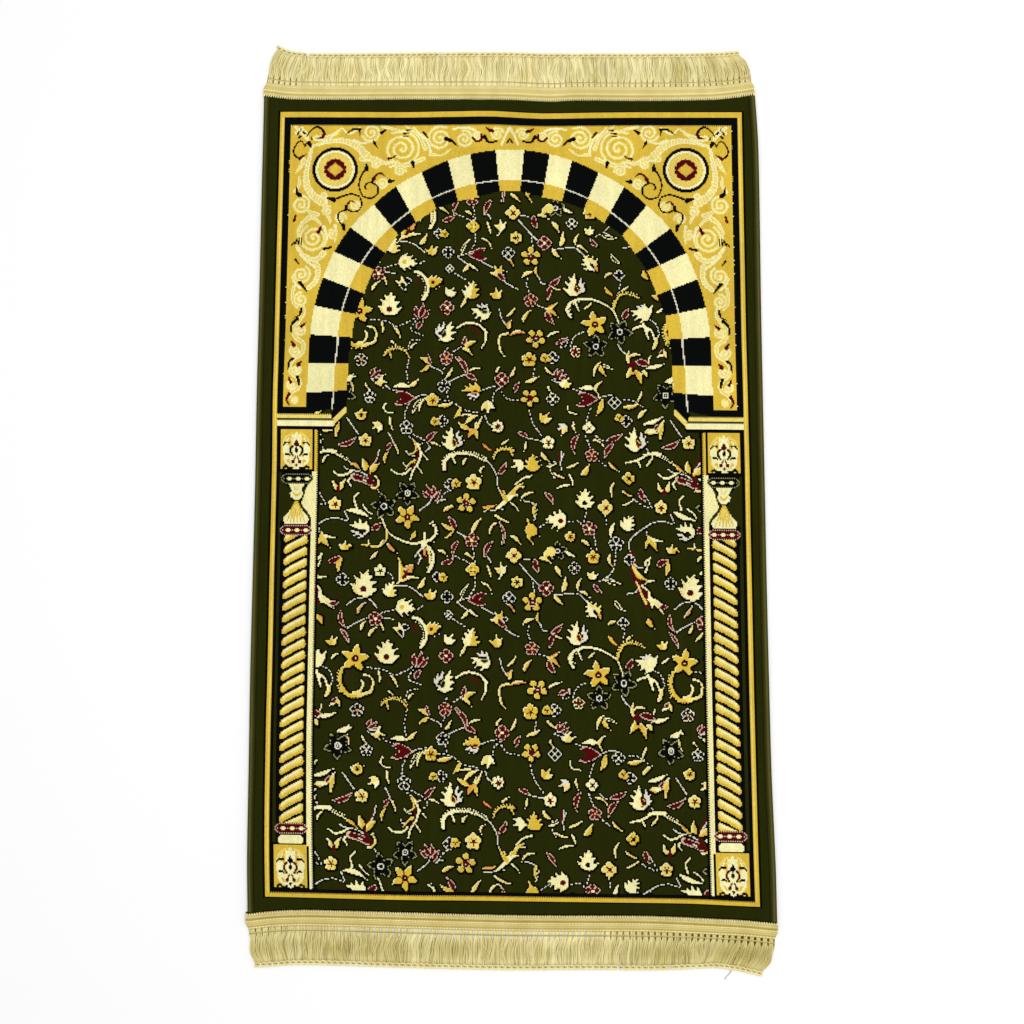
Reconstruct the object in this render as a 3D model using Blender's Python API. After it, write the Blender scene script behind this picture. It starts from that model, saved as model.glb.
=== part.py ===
"""A woven prayer rug that lies flat, with an overlocked binding down each side and a fringed tape
sewn over each end.

Metres, +Z up. The rug lies on z = 0 with the middle of its outline at the origin. The head of its
arch is at +Y, and +X is on the right seen from above.
"""
from math import pi, sin

import bmesh
import bpy

# Driving dimensions
HALF_WIDTH = 0.3293          # middle of the rug to the outer side of a binding
END_LINE = 0.5290            # middle of the rug to the line where a tape's inner edge meets the pile
FRINGE_END = 0.5950          # middle of the rug to the outer side of a fringe's end chain
GAP = 0.0003                 # room between neighbouring pieces
TAPE_CLEARANCE = 0.0008      # the pile and the bindings stop this far short of a tape

PILE_TOP = 0.0060            # woven base and pile together
PILE_ROUND = 0.0012          # rounding of the pile's upper edge
PILE_SET_BACK = 0.0002       # the base stands out this much under the pile at the sides
BASE_TOP = 0.0016            # the woven base alone, as it runs on under the tapes
TONGUE_DEPTH = 0.0115        # how far the bare base reaches under a tape
END_STEPS = 20               # points along an end of the slab
SIDE_STEPS = 24              # points along a side of the slab

BINDING_WIDTH = 0.0078
BINDING_STEPS = 24
# The overlocked edge's section: share of its width from the outer side in, height
BINDING_SECTION = (
    (0.10, 0.0000),
    (0.00, 0.0014),
    (0.04, 0.0034),
    (0.25, 0.0052),
    (0.55, 0.0056),
    (0.85, 0.0048),
    (1.00, 0.0030),
    (0.95, 0.0000),
)

TAPE_DEPTH = 0.0200          # from the line on the pile to the openwork row
TAPE_STEP = 0.0121           # the tape's underside steps down to the floor past the tongue
TAPE_TOP = 0.0044            # the tape's inner part lies on the tongue of base
TAPE_FLAT = 0.0080           # where the tape starts to fall towards the floor
TAPE_TAPER = 0.0035          # each end of a tape runs in by this much at its outer edge

LOCKS = 84                   # strands in a fringe, one for each stitch of its end chain
LOCKS_IN_PANEL = 4           # strands between one section of the tape and the next
TONGUE_CUT = 1               # at each end of a tape, this many strands' width lies beside the tongue
CUT_SLOPE = 0.15             # the tape's underside rises from the floor within this much of it
ROOT_SHARE = 0.60            # a strand is drawn in to this share of its pitch at the openwork row
FULL_SHARE = 0.92            # and takes up this share of it below
LOCK_TOP = 0.0018
WAVE = 0.0009                # side to side swing of the strands
WAVE_LENGTH = 0.170          # how far along the fringe the swing repeats

# A strand's sections: share of its length, 0 at the root, share of its full width
LOCK_SECTIONS = (
    (0.00, 0.0),
    (0.17, 0.0),
    (0.27, 1.0),
    (0.52, 1.0),
    (0.76, 1.0),
    (1.00, 1.0),
)

CHAIN_DEPTH = 0.0060
CHAIN_TOP = 0.0024
CHAIN_SCALLOP = 0.0007       # each stitch bulges the chain's outer side by this much

# How the cloth lies: a little out of square, as slopes
SIDES_LEAN = -0.0041         # x for each metre of y
ENDS_SLOPE = -0.0113         # y for each metre of x
FANNING = 0.0078             # y for each square metre of x times y

# How far each side stands outside HALF_WIDTH:
# y, left, right
SIDE_EDGES = (
    (-0.532, -0.0013, 0.0015),
    (-0.464, 0.0007, 0.0014),
    (-0.347, 0.0010, -0.0010),
    (-0.229, 0.0014, -0.0013),
    (-0.112, 0.0007, -0.0013),
    (0.005, 0.0000, -0.0008),
    (0.122, 0.0002, -0.0005),
    (0.239, -0.0005, 0.0000),
    (0.415, -0.0011, 0.0015),
    (0.473, -0.0015, 0.0012),
    (0.532, -0.0017, -0.0015),
)

# How far each end of the pile stands outside END_LINE, with its corners drawn out:
# x, top, bottom
PILE_ENDS = (
    (-0.324, 0.0068, 0.0050),
    (-0.294, 0.0029, 0.0011),
    (-0.265, 0.0022, -0.0006),
    (-0.236, 0.0019, -0.0010),
    (-0.119, 0.0023, -0.0003),
    (-0.002, 0.0019, 0.0002),
    (0.057, -0.0006, -0.0005),
    (0.087, 0.0009, -0.0010),
    (0.174, 0.0004, -0.0022),
    (0.262, 0.0016, -0.0003),
    (0.291, 0.0036, 0.0006),
    (0.326, 0.0085, 0.0033),
)

# The end chains are shorter than the rug, so the strands lean in at the corners.
# x at the root, lean and reach past FRINGE_END at the top, lean and reach at the bottom
FRINGE_ENDS = (
    (-0.326, 0.0180, 0.0105, 0.0100, 0.0045),
    (-0.305, 0.0120, 0.0040, 0.0070, 0.0035),
    (-0.280, 0.0070, 0.0010, 0.0040, 0.0010),
    (-0.235, 0.0030, 0.0000, 0.0020, 0.0000),
    (-0.120, 0.0000, 0.0010, 0.0000, 0.0010),
    (0.000, 0.0000, 0.0015, 0.0000, 0.0010),
    (0.057, 0.0000, -0.0002, 0.0000, -0.0006),
    (0.117, 0.0000, -0.0002, 0.0000, -0.0020),
    (0.175, -0.0010, -0.0003, -0.0010, -0.0026),
    (0.233, -0.0030, 0.0000, -0.0030, -0.0055),
    (0.262, -0.0060, 0.0004, -0.0060, -0.0070),
    (0.291, -0.0110, 0.0010, -0.0110, -0.0045),
    (0.326, -0.0180, 0.0030, -0.0170, -0.0015),
)

# The two ends of the rug: side of the origin, then each table's columns for that end
ENDS = {
    "top": {"side": 1, "pile": 1, "lean": 1, "reach": 2},
    "bottom": {"side": -1, "pile": 2, "lean": 3, "reach": 4},
}

# Colour and roughness
MATERIALS = {
    "pile": ((0.021, 0.022, 0.002), 0.95),
    "binding": ((0.060, 0.058, 0.020), 0.85),
    "fringe": ((0.760, 0.640, 0.300), 0.80),
}


def clear_scene():
    """Start from an empty scene."""
    for item in list(bpy.data.objects):
        bpy.data.objects.remove(item, do_unlink=True)


def make_material(name):
    """A plain material from MATERIALS, made once."""
    if name in bpy.data.materials:
        return bpy.data.materials[name]
    colour, roughness = MATERIALS[name]
    made = bpy.data.materials.new(name)
    made.use_nodes = True
    shader = made.node_tree.nodes["Principled BSDF"]
    shader.inputs["Base Color"].default_value = (*colour, 1.0)
    shader.inputs["Roughness"].default_value = roughness
    shader.inputs["Metallic"].default_value = 0.0
    return made


def smooth(rows, at, column):
    """A column's value at a place along the first column, on one smooth curve through the rows."""
    at = min(max(at, rows[0][0]), rows[-1][0])
    index = max(i for i in range(len(rows) - 1) if rows[i][0] <= at)
    before = rows[max(index - 1, 0)]
    low, high = rows[index], rows[index + 1]
    after = rows[min(index + 2, len(rows) - 1)]
    span = high[0] - low[0]
    t = (at - low[0]) / span
    slope_low = (high[column] - before[column]) / (high[0] - before[0]) * span
    slope_high = (after[column] - low[column]) / (after[0] - low[0]) * span
    return ((2 * t**3 - 3 * t**2 + 1) * low[column] + (t**3 - 2 * t**2 + t) * slope_low
            + (3 * t**2 - 2 * t**3) * high[column] + (t**3 - t**2) * slope_high)


def mix(low, high, share):
    """The value at a share of the way from low to high."""
    return low + (high - low) * share


def lie(x, y, z):
    """Where a point of the straight rug comes to lie."""
    return (x + SIDES_LEAN * y, y + ENDS_SLOPE * x + FANNING * x * y, z)


def side_x(side, y, inset=0.0):
    """The x of a side edge, side -1 for the left and 1 for the right, drawn in by inset."""
    column = 1 if side < 0 else 2
    return side * (HALF_WIDTH + smooth(SIDE_EDGES, y, column) - inset)


def pile_y(x, end, out=0.0):
    """The y of the pile's end line at one x, moved out by so much."""
    return end["side"] * (END_LINE + smooth(PILE_ENDS, x, end["pile"]) + out)


def add_solid(name, builder, material_name):
    """One named object from a bmesh, with its faces turned out."""
    bmesh.ops.recalc_face_normals(builder, faces=builder.faces)
    mesh = bpy.data.meshes.new(name)
    builder.to_mesh(mesh)
    builder.free()
    mesh.materials.append(make_material(material_name))
    made = bpy.data.objects.new(name, mesh)
    bpy.context.scene.collection.objects.link(made)


def add_ring(builder, points):
    """The vertices of a ring of points of the straight rug."""
    return [builder.verts.new(lie(*point)) for point in points]


def join_rings(builder, ring, following):
    """A band of faces between two closed rings."""
    for i in range(len(ring)):
        j = (i + 1) % len(ring)
        builder.faces.new((ring[i], ring[j], following[j], following[i]))


def stack(name, rings_of_points, material_name):
    """A solid through a row of rings, closed at both ends."""
    builder = bmesh.new()
    rings = [add_ring(builder, points) for points in rings_of_points]
    for ring, following in zip(rings, rings[1:]):
        join_rings(builder, ring, following)
    builder.faces.new(rings[0])
    builder.faces.new(rings[-1])
    add_solid(name, builder, material_name)


def slab_outline(inset, out, z):
    """The slab's outline at one height, drawn in at the sides and moved out at the ends."""
    points = []
    inset += BINDING_WIDTH + GAP
    out -= TAPE_CLEARANCE
    for end, other, side in ((ENDS["bottom"], ENDS["top"], 1), (ENDS["top"], ENDS["bottom"], -1)):
        end_y = end["side"] * END_LINE
        near, far = side_x(-side, end_y, inset), side_x(side, end_y, inset)
        for step in range(END_STEPS):
            x = mix(near, far, step / END_STEPS)
            points.append((x, pile_y(x, end, out), z))
        for step in range(SIDE_STEPS):
            y = mix(pile_y(far, end, out), pile_y(far, other, out), step / SIDE_STEPS)
            points.append((side_x(side, y, inset), y, z))
    return points


def fan(builder, start, finish, rim):
    """Triangles from the two inner corners of a panel to the points of its rim."""
    middle = len(rim) // 2
    for i in range(len(rim) - 1):
        corner = start if i < middle else finish
        builder.faces.new((corner, rim[i], rim[i + 1]))
    builder.faces.new((start, rim[middle], finish))


def close_slab(builder, ring):
    """A flat face over the slab's outline: a fan at each end and strips between its sides."""
    left = [ring[-row] for row in range(1, SIDE_STEPS)]
    right = [ring[END_STEPS + row] for row in range(1, SIDE_STEPS)]
    top = END_STEPS + SIDE_STEPS
    fan(builder, left[0], right[0], ring[:END_STEPS + 1])
    fan(builder, right[-1], left[-1], ring[top:top + END_STEPS + 1])
    for low in range(SIDE_STEPS - 2):
        builder.faces.new((left[low], right[low], right[low + 1], left[low + 1]))


def build_slab():
    """The woven base and its pile. The bare base runs on under the tapes as a thin tongue."""
    builder = bmesh.new()
    rings = [add_ring(builder, points) for points in (
        slab_outline(0.0, TONGUE_DEPTH, 0.0),
        slab_outline(0.0, TONGUE_DEPTH, BASE_TOP),
        slab_outline(PILE_SET_BACK, 0.0, BASE_TOP),
        slab_outline(PILE_SET_BACK, 0.0, PILE_TOP - PILE_ROUND),
        slab_outline(PILE_SET_BACK + PILE_ROUND, -PILE_ROUND, PILE_TOP),
    )]
    for ring, following in zip(rings, rings[1:]):
        join_rings(builder, ring, following)
    close_slab(builder, rings[0])
    close_slab(builder, rings[-1])
    add_solid("rug_pile", builder, "pile")


def build_binding(name, side):
    """The overlocked edge down one side, from tape to tape."""
    rings = []
    for step in range(BINDING_STEPS + 1):
        along = step / BINDING_STEPS
        ring = []
        for share, z in BINDING_SECTION:
            x = side_x(side, mix(-END_LINE, END_LINE, along), share * BINDING_WIDTH)
            bottom, top = (pile_y(x, end, -TAPE_CLEARANCE) for end in (ENDS["bottom"], ENDS["top"]))
            ring.append((x, mix(bottom, top, along), z))
        rings.append(ring)
    stack(name, rings, "binding")


def tape_x(share, end, out):
    """The x at a share of the tape's length, 0 on the left, at a distance out from the pile."""
    inset = TAPE_TAPER * max(0.0, out - TAPE_STEP) / (TAPE_DEPTH - TAPE_STEP)
    y = end["side"] * END_LINE
    return mix(side_x(-1, y, inset), side_x(1, y, inset), share)


def tape_point(share, end, out, z):
    """A point of the tape: share of its length, distance out from the pile's end line, height."""
    x = tape_x(share, end, out)
    return (x, pile_y(x, end, out), z)


def tape_cuts():
    """Where the tape's sections stand, counted in strands, and each one's underside height."""
    over_tongue = BASE_TOP + GAP
    beside = TONGUE_CUT - CUT_SLOPE
    inner = range(LOCKS_IN_PANEL, LOCKS, LOCKS_IN_PANEL)
    return (
        (0, 0.0),
        (beside, 0.0),
        (TONGUE_CUT, over_tongue),
        *((cut, over_tongue) for cut in inner),
        (LOCKS - TONGUE_CUT, over_tongue),
        (LOCKS - beside, 0.0),
        (LOCKS, 0.0),
    )


def tape_section(cut, under, end):
    """The tape's section at a cut, but for its outer rim."""
    share = cut / LOCKS
    return (
        tape_point(share, end, TAPE_STEP + GAP, 0.0),
        tape_point(share, end, TAPE_STEP, under),
        tape_point(share, end, 0.0, under),
        tape_point(share, end, 0.0, TAPE_TOP),
        tape_point(share, end, TAPE_FLAT, TAPE_TOP),
    )


def chain_point(share, end, out):
    """A point of the end chain, at a distance out from its inner side."""
    root = tape_x(share, end, TAPE_DEPTH)
    x = root + smooth(FRINGE_ENDS, root, end["lean"])
    reach = FRINGE_END + smooth(FRINGE_ENDS, root, end["reach"]) - CHAIN_DEPTH + out
    return (x, end["side"] * reach)


def strand_point(share, end, along, z):
    """A point of the strands: share of the tape's length, share of the strands' length, height."""
    root_x = tape_x(share, end, TAPE_DEPTH)
    tip_x, tip_y = chain_point(share, end, -GAP)
    swing = WAVE * sin(2 * pi * (root_x / WAVE_LENGTH + along)) * sin(pi * along)
    x = root_x + (tip_x - root_x) * along**2 + swing
    return (x, mix(pile_y(root_x, end, TAPE_DEPTH), tip_y, along), z)


def lock_ring(lock, end, along, fullness):
    """One strand's four-sided section at a share of its length."""
    half = mix(ROOT_SHARE, FULL_SHARE, fullness) / 2
    low, high = (lock + 0.5 - half) / LOCKS, (lock + 0.5 + half) / LOCKS
    return (
        strand_point(low, end, along, 0.0),
        strand_point(high, end, along, 0.0),
        strand_point(high, end, along, LOCK_TOP),
        strand_point(low, end, along, LOCK_TOP),
    )


def add_lock(builder, lock, end):
    """One strand, open at its root. Gives the vertices of its root."""
    rings = [add_ring(builder, lock_ring(lock, end, along, fullness))
             for along, fullness in LOCK_SECTIONS]
    for ring, following in zip(rings, rings[1:]):
        join_rings(builder, ring, following)
    builder.faces.new(rings[-1])
    return rings[0]


def add_rim_edge(builder, lock, end):
    """The lower and upper vertex of the tape's outer rim, midway before a strand."""
    return [builder.verts.new(lie(*tape_point(lock / LOCKS, end, TAPE_DEPTH, z)))
            for z in (0.0, LOCK_TOP)]


def add_rim(builder, first, last, end):
    """The strands from first up to last. Gives the rim's lower and upper vertices between edges."""
    lower, upper = [], []
    for lock in range(first, last):
        root = add_lock(builder, lock, end)
        lower += root[:2]
        upper += (root[3], root[2])
    return lower, upper


def build_fringe(name, end):
    """The tape over one end of the rug, with its strands fused to the tape's outer rim."""
    builder = bmesh.new()
    cuts = tape_cuts()
    sections = [add_ring(builder, tape_section(cut, under, end)) for cut, under in cuts]
    locks = [round(cut) for cut, _ in cuts]
    edges = {lock: add_rim_edge(builder, lock, end) for lock in sorted(set(locks))}
    for here, following, first, last in zip(sections, sections[1:], locks, locks[1:]):
        for i in range(len(here) - 1):
            builder.faces.new((here[i], here[i + 1], following[i + 1], following[i]))
        lower, upper = add_rim(builder, first, last, end)
        if first < last:
            lower = [edges[first][0], *lower, edges[last][0]]
            upper = [edges[first][1], *upper, edges[last][1]]
        else:
            lower, upper = edges[first][:1], edges[first][1:]
        for i in range(0, len(lower) - 1, 2):
            builder.faces.new((lower[i], lower[i + 1], upper[i + 1], upper[i]))
        fan(builder, here[0], following[0], lower)
        fan(builder, here[-1], following[-1], upper)
    for section, lock in ((sections[0], 0), (sections[-1], LOCKS)):
        builder.faces.new((*section, edges[lock][1], edges[lock][0]))
    add_solid(name, builder, "fringe")


def build_chain(name, end):
    """The stitched chain that ties the strands' ends together, one scallop for each strand."""
    rings = []
    for step in range(2 * LOCKS + 1):
        bulge = CHAIN_SCALLOP * (step % 2)
        share = step / (2 * LOCKS)
        inner = chain_point(share, end, 0.0)
        outer = chain_point(share, end, CHAIN_DEPTH - CHAIN_SCALLOP + bulge)
        rings.append([(*inner, 0.0), (*inner, CHAIN_TOP), (*outer, CHAIN_TOP), (*outer, 0.0)])
    stack(name, rings, "fringe")


def centre_on_origin():
    """Set the middle of the whole outline over the origin."""
    points = [vertex.co for item in bpy.data.objects for vertex in item.data.vertices]
    middle = [(min(point[axis] for point in points) + max(point[axis] for point in points)) / 2
              for axis in (0, 1)]
    for item in bpy.data.objects:
        item.location = (-middle[0], -middle[1], 0.0)


def main():
    clear_scene()
    build_slab()
    build_binding("binding_left", -1)
    build_binding("binding_right", 1)
    for name, end in ENDS.items():
        build_fringe(f"fringe_{name}", end)
        build_chain(f"chain_{name}", end)
    centre_on_origin()


main()
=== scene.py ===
"""The dressed prayer rug: a velvet cloth with its woven pattern, overlocked sides, and at each end
a sewn tape with a skirt of fine yarns tied by a chain of stitches.

Metres, in the frame of the CAD model. The pattern is drawn on a chart, as a weaver's point paper:
its cells are the pile's tufts, with x to the right and y down from the gold frame's top left corner.
"""
from math import cos, hypot, pi, radians, sin

import bmesh
import bpy
import numpy as np
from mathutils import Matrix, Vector
from mathutils.geometry import delaunay_2d_cdt


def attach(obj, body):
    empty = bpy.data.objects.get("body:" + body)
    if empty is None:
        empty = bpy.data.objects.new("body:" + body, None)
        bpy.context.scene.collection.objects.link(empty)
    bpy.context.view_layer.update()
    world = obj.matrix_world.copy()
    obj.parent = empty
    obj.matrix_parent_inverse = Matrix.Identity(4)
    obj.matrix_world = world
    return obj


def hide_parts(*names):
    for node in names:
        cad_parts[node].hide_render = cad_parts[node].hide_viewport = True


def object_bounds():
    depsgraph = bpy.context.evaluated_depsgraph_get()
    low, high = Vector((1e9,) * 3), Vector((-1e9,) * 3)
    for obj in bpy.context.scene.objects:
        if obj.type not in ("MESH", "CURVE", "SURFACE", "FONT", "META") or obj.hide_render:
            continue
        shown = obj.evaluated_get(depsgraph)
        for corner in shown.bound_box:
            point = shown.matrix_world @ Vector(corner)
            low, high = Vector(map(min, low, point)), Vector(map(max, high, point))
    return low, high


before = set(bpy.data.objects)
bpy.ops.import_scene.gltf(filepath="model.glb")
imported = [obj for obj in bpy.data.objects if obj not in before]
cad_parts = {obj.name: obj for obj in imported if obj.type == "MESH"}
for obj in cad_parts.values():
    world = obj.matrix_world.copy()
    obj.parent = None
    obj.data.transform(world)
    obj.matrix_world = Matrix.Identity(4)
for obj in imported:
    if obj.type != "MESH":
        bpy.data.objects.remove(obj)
CAD_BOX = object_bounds()
RANDOM = np.random.default_rng(7)

# ---------------------------------------------------------------------------------------------
# The rug's plain shape and how it lies, as in the CAD source, in metres
# ---------------------------------------------------------------------------------------------
HALF_WIDTH = 0.3293          # middle of the rug to the outer side of a binding
END_LINE = 0.5290            # middle of the rug to the line where a tape's inner edge meets the pile
FRINGE_END = 0.5950          # middle of the rug to the outer side of a fringe's end chain
GAP = 0.0003                 # parts that touch are kept this far apart
TAPE_CLEARANCE = 0.0008      # the pile stops this far short of the tape's line
PILE_TOP = 0.0060
PILE_ROUND = 0.0012          # width of the pile's rounded rim
PILE_SET_BACK = 0.0002       # the pile's sides are drawn in by this much more
BASE_TOP = 0.0016            # upper side of the woven base
BINDING_WIDTH = 0.0078
TAPE_DEPTH = 0.0200
TAPE_STEP = 0.0121           # the tape's underside steps down this far out
TAPE_TOP = 0.0044
TAPE_FLAT = 0.0080           # the tape is flat on top up to here
TAPE_RIM = 0.0020            # and comes down to this height at its outer rim
TAPE_TAPER = 0.0035          # the tape's ends are drawn in by so much at its outer rim
LOCKS = 84                   # strands in each fringe
WAVE = 0.0009                # how far the strands swing to each side
WAVE_LENGTH = 0.170
CHAIN_DEPTH = 0.0060
SIDES_LEAN = -0.0041         # how far the sides lean for each metre up
ENDS_SLOPE = -0.0113         # how far the ends rise for each metre across
FANNING = 0.0078             # how much the ends' slopes differ

# How far each side stands outside HALF_WIDTH:
# y, left, right
SIDE_EDGES = (
    (-0.532, -0.0013, 0.0015),
    (-0.464, 0.0007, 0.0014),
    (-0.347, 0.0010, -0.0010),
    (-0.229, 0.0014, -0.0013),
    (-0.112, 0.0007, -0.0013),
    (0.005, 0.0000, -0.0008),
    (0.122, 0.0002, -0.0005),
    (0.239, -0.0005, 0.0000),
    (0.415, -0.0011, 0.0015),
    (0.473, -0.0015, 0.0012),
    (0.532, -0.0017, -0.0015),
)

# How far each end of the pile stands outside END_LINE:
# x, top, bottom
PILE_ENDS = (
    (-0.324, 0.0068, 0.0050),
    (-0.294, 0.0029, 0.0011),
    (-0.265, 0.0022, -0.0006),
    (-0.236, 0.0019, -0.0010),
    (-0.119, 0.0023, -0.0003),
    (-0.002, 0.0019, 0.0002),
    (0.057, -0.0006, -0.0005),
    (0.087, 0.0009, -0.0010),
    (0.174, 0.0004, -0.0022),
    (0.262, 0.0016, -0.0003),
    (0.291, 0.0036, 0.0006),
    (0.326, 0.0085, 0.0033),
)

# How the strands lean in at the corners and reach past FRINGE_END:
# x at the root, lean and reach at the top, lean and reach at the bottom
FRINGE_ENDS = (
    (-0.326, 0.0180, 0.0105, 0.0100, 0.0045),
    (-0.305, 0.0120, 0.0040, 0.0070, 0.0035),
    (-0.280, 0.0070, 0.0010, 0.0040, 0.0010),
    (-0.235, 0.0030, 0.0000, 0.0020, 0.0000),
    (-0.120, 0.0000, 0.0010, 0.0000, 0.0010),
    (0.000, 0.0000, 0.0015, 0.0000, 0.0010),
    (0.057, 0.0000, -0.0002, 0.0000, -0.0006),
    (0.117, 0.0000, -0.0002, 0.0000, -0.0020),
    (0.175, -0.0010, -0.0003, -0.0010, -0.0026),
    (0.233, -0.0030, 0.0000, -0.0030, -0.0055),
    (0.262, -0.0060, 0.0004, -0.0060, -0.0070),
    (0.291, -0.0110, 0.0010, -0.0110, -0.0045),
    (0.326, -0.0180, 0.0030, -0.0170, -0.0015),
)

ENDS = {
    "top": {"side": 1, "pile": 1, "lean": 1, "reach": 2},
    "bottom": {"side": -1, "pile": 2, "lean": 3, "reach": 4},
}


def smooth(rows, at, column):
    """A column's value at a place along the first column, on one smooth curve through the rows."""
    at = min(max(at, rows[0][0]), rows[-1][0])
    index = max(i for i in range(len(rows) - 1) if rows[i][0] <= at)
    before = rows[max(index - 1, 0)]
    low, high = rows[index], rows[index + 1]
    after = rows[min(index + 2, len(rows) - 1)]
    span = high[0] - low[0]
    t = (at - low[0]) / span
    slope_low = (high[column] - before[column]) / (high[0] - before[0]) * span
    slope_high = (after[column] - low[column]) / (after[0] - low[0]) * span
    return ((2 * t**3 - 3 * t**2 + 1) * low[column] + (t**3 - 2 * t**2 + t) * slope_low
            + (3 * t**2 - 2 * t**3) * high[column] + (t**3 - t**2) * slope_high)


def mix(low, high, share):
    """The value at a share of the way from low to high."""
    return low + (high - low) * share


def clamp(value):
    """A value held between 0 and 1."""
    return min(1.0, max(0.0, value))


def ease(share):
    """A share that leaves and arrives gently."""
    return share * share * (3 - 2 * share)


def side_x(side, y, inset=0.0):
    """The x of a side edge, side -1 for the left and 1 for the right, drawn in by inset."""
    column = 1 if side < 0 else 2
    return side * (HALF_WIDTH + smooth(SIDE_EDGES, y, column) - inset)


def pile_y(x, end, out=0.0):
    """The y of the pile's end line at one x, moved out by so much."""
    return end["side"] * (END_LINE + smooth(PILE_ENDS, x, end["pile"]) + out)


def tape_x(share, end, out):
    """The x at a share of the tape's length, 0 on the left, at a distance out from the pile."""
    inset = TAPE_TAPER * max(0.0, out - TAPE_STEP) / (TAPE_DEPTH - TAPE_STEP)
    y = end["side"] * END_LINE
    return mix(side_x(-1, y, inset), side_x(1, y, inset), share)


def tape_point(share, end, out):
    """A point of the tape: share of its length, distance out from the pile's end line."""
    x = tape_x(share, end, out)
    return x, pile_y(x, end, out)


def chain_point(share, end, out):
    """A point of the end chain, at a distance out from its inner side."""
    root = tape_x(share, end, TAPE_DEPTH)
    reach = FRINGE_END + smooth(FRINGE_ENDS, root, end["reach"]) - CHAIN_DEPTH + out
    return root + smooth(FRINGE_ENDS, root, end["lean"]), end["side"] * reach


def strand_point(share, end, along):
    """A point of the strands: share of the tape's length, share of the strands' length."""
    root_x = tape_x(share, end, TAPE_DEPTH)
    tip_x, tip_y = chain_point(share, end, -GAP)
    swing = WAVE * sin(2 * pi * (root_x / WAVE_LENGTH + along)) * sin(pi * along)
    x = root_x + (tip_x - root_x) * along**2 + swing
    return x, mix(pile_y(root_x, end, TAPE_DEPTH), tip_y, along)


def lie(x, y, z):
    """Where a point of the plain rug comes to lie."""
    return (x + SIDES_LEAN * y + SHIFT[0], y + ENDS_SLOPE * x + FANNING * x * y + SHIFT[1], z)


MEASURE_STEPS = 200


def measure_shift():
    """How far the CAD model was moved to stand centred on its whole outline."""
    points = []
    for step in range(MEASURE_STEPS + 1):
        share = step / MEASURE_STEPS
        for end in ENDS.values():
            points += [tape_point(share, end, 0.0), tape_point(share, end, TAPE_DEPTH),
                       chain_point(share, end, CHAIN_DEPTH)]
        y = mix(-END_LINE, END_LINE, share)
        points += [(side_x(-1, y), y), (side_x(1, y), y)]
    laid = [lie(x, y, 0.0) for x, y in points]
    low, high = CAD_BOX
    return tuple((low[axis] + high[axis]) / 2
                 - (min(p[axis] for p in laid) + max(p[axis] for p in laid)) / 2
                 for axis in (0, 1))


SHIFT = (0.0, 0.0)
SHIFT = measure_shift()

# ---------------------------------------------------------------------------------------------
# The chart: one cell for each tuft, holding the number of its yarn
# ---------------------------------------------------------------------------------------------
UNIT = 0.0009763             # metres in one unit of the chart
CHART_MIDDLE = (311.5, 525.0)
CELL = (1.465, 1.53)
COLUMNS, ROWS = 457, 724
MIRROR = 313.5               # the arch, its corners and the columns are the same left and right
LEFT = MIRROR - COLUMNS * CELL[0] / 2
TOP = -28.0
TILE = (429.0, 466.0)        # the field's flowers come again after so much

# Yarns: letter, then colour in sRGB
YARNS = {
    "V": (36, 39, 5),        # olive ground
    "K": (7, 8, 8),          # black
    "G": (212, 178, 60),     # gold
    "P": (229, 206, 106),    # pale gold
    "C": (238, 231, 170),    # cream
    "R": (78, 8, 12),        # burgundy
    "W": (218, 214, 190),    # greyish white
    "O": (214, 150, 70),     # apricot
    # D round the field's light motifs is partly painted shade; elsewhere it draws the pattern's own dark
    # lines.
    "D": (8, 8, 2),          # the dark edge where motifs meet the ground
    "S": (146, 146, 96),     # green grey
    "B": (208, 178, 150),    # blush
}
NUMBER = {letter: number for number, letter in enumerate(YARNS)}
NOTHING = -1

CELL_X = LEFT + (np.arange(COLUMNS) + 0.5) * CELL[0]
CELL_Y = TOP + (np.arange(ROWS) + 0.5) * CELL[1]


def window(layer, x_low, x_high, y_low, y_high):
    """The part of a layer between two corners, and the places of its cells, or None outside it."""
    left = max(0, int((x_low - LEFT) / CELL[0]))
    right = min(COLUMNS, int((x_high - LEFT) / CELL[0]) + 2)
    top = max(0, int((y_low - TOP) / CELL[1]))
    bottom = min(ROWS, int((y_high - TOP) / CELL[1]) + 2)
    if right <= left or bottom <= top:
        return None
    xs, ys = np.meshgrid(CELL_X[left:right], CELL_Y[top:bottom])
    return layer[top:bottom, left:right], xs, ys


def box(layer, x_low, x_high, y_low, y_high, yarn):
    """A plain block of one yarn."""
    found = window(layer, x_low, x_high, y_low, y_high)
    if found:
        cells, xs, ys = found
        cells[(xs >= x_low) & (xs < x_high) & (ys >= y_low) & (ys < y_high)] = NUMBER[yarn]


def near(layer, x, y, reach):
    """The cells near a point and how far they lie from it across and down, or None."""
    found = window(layer, x - reach, x + reach, y - reach, y + reach)
    if not found:
        return None
    cells, xs, ys = found
    return cells, xs - x, ys - y


def disc(layer, x, y, radius, yarn):
    """A round spot."""
    found = near(layer, x, y, radius)
    if found:
        cells, dx, dy = found
        cells[np.hypot(dx, dy) < radius] = NUMBER[yarn]


def turned(dx, dy, turn):
    """Distances along and across a direction, which is 0 to the right and 90 up the chart."""
    c, s = cos(radians(turn)), sin(radians(turn))
    return dx * c - dy * s, dx * s + dy * c


def off(x, y, turn, away):
    """The point at a distance from another in a direction."""
    return x + cos(radians(turn)) * away, y - sin(radians(turn)) * away


def shifted(points, x, y):
    """The same points, moved by so much."""
    return [(px + x, py + y) for px, py in points]


def inside_of(xs, ys, outline):
    """Which places lie inside a closed outline."""
    outline = np.array(outline, float)
    found = np.zeros(xs.shape, bool)
    for (ax, ay), (bx, by) in zip(outline, np.roll(outline, -1, 0)):
        if ay != by:
            found ^= ((ay > ys) != (by > ys)) & (xs < ax + (ys - ay) * (bx - ax) / (by - ay))
    return found


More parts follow.
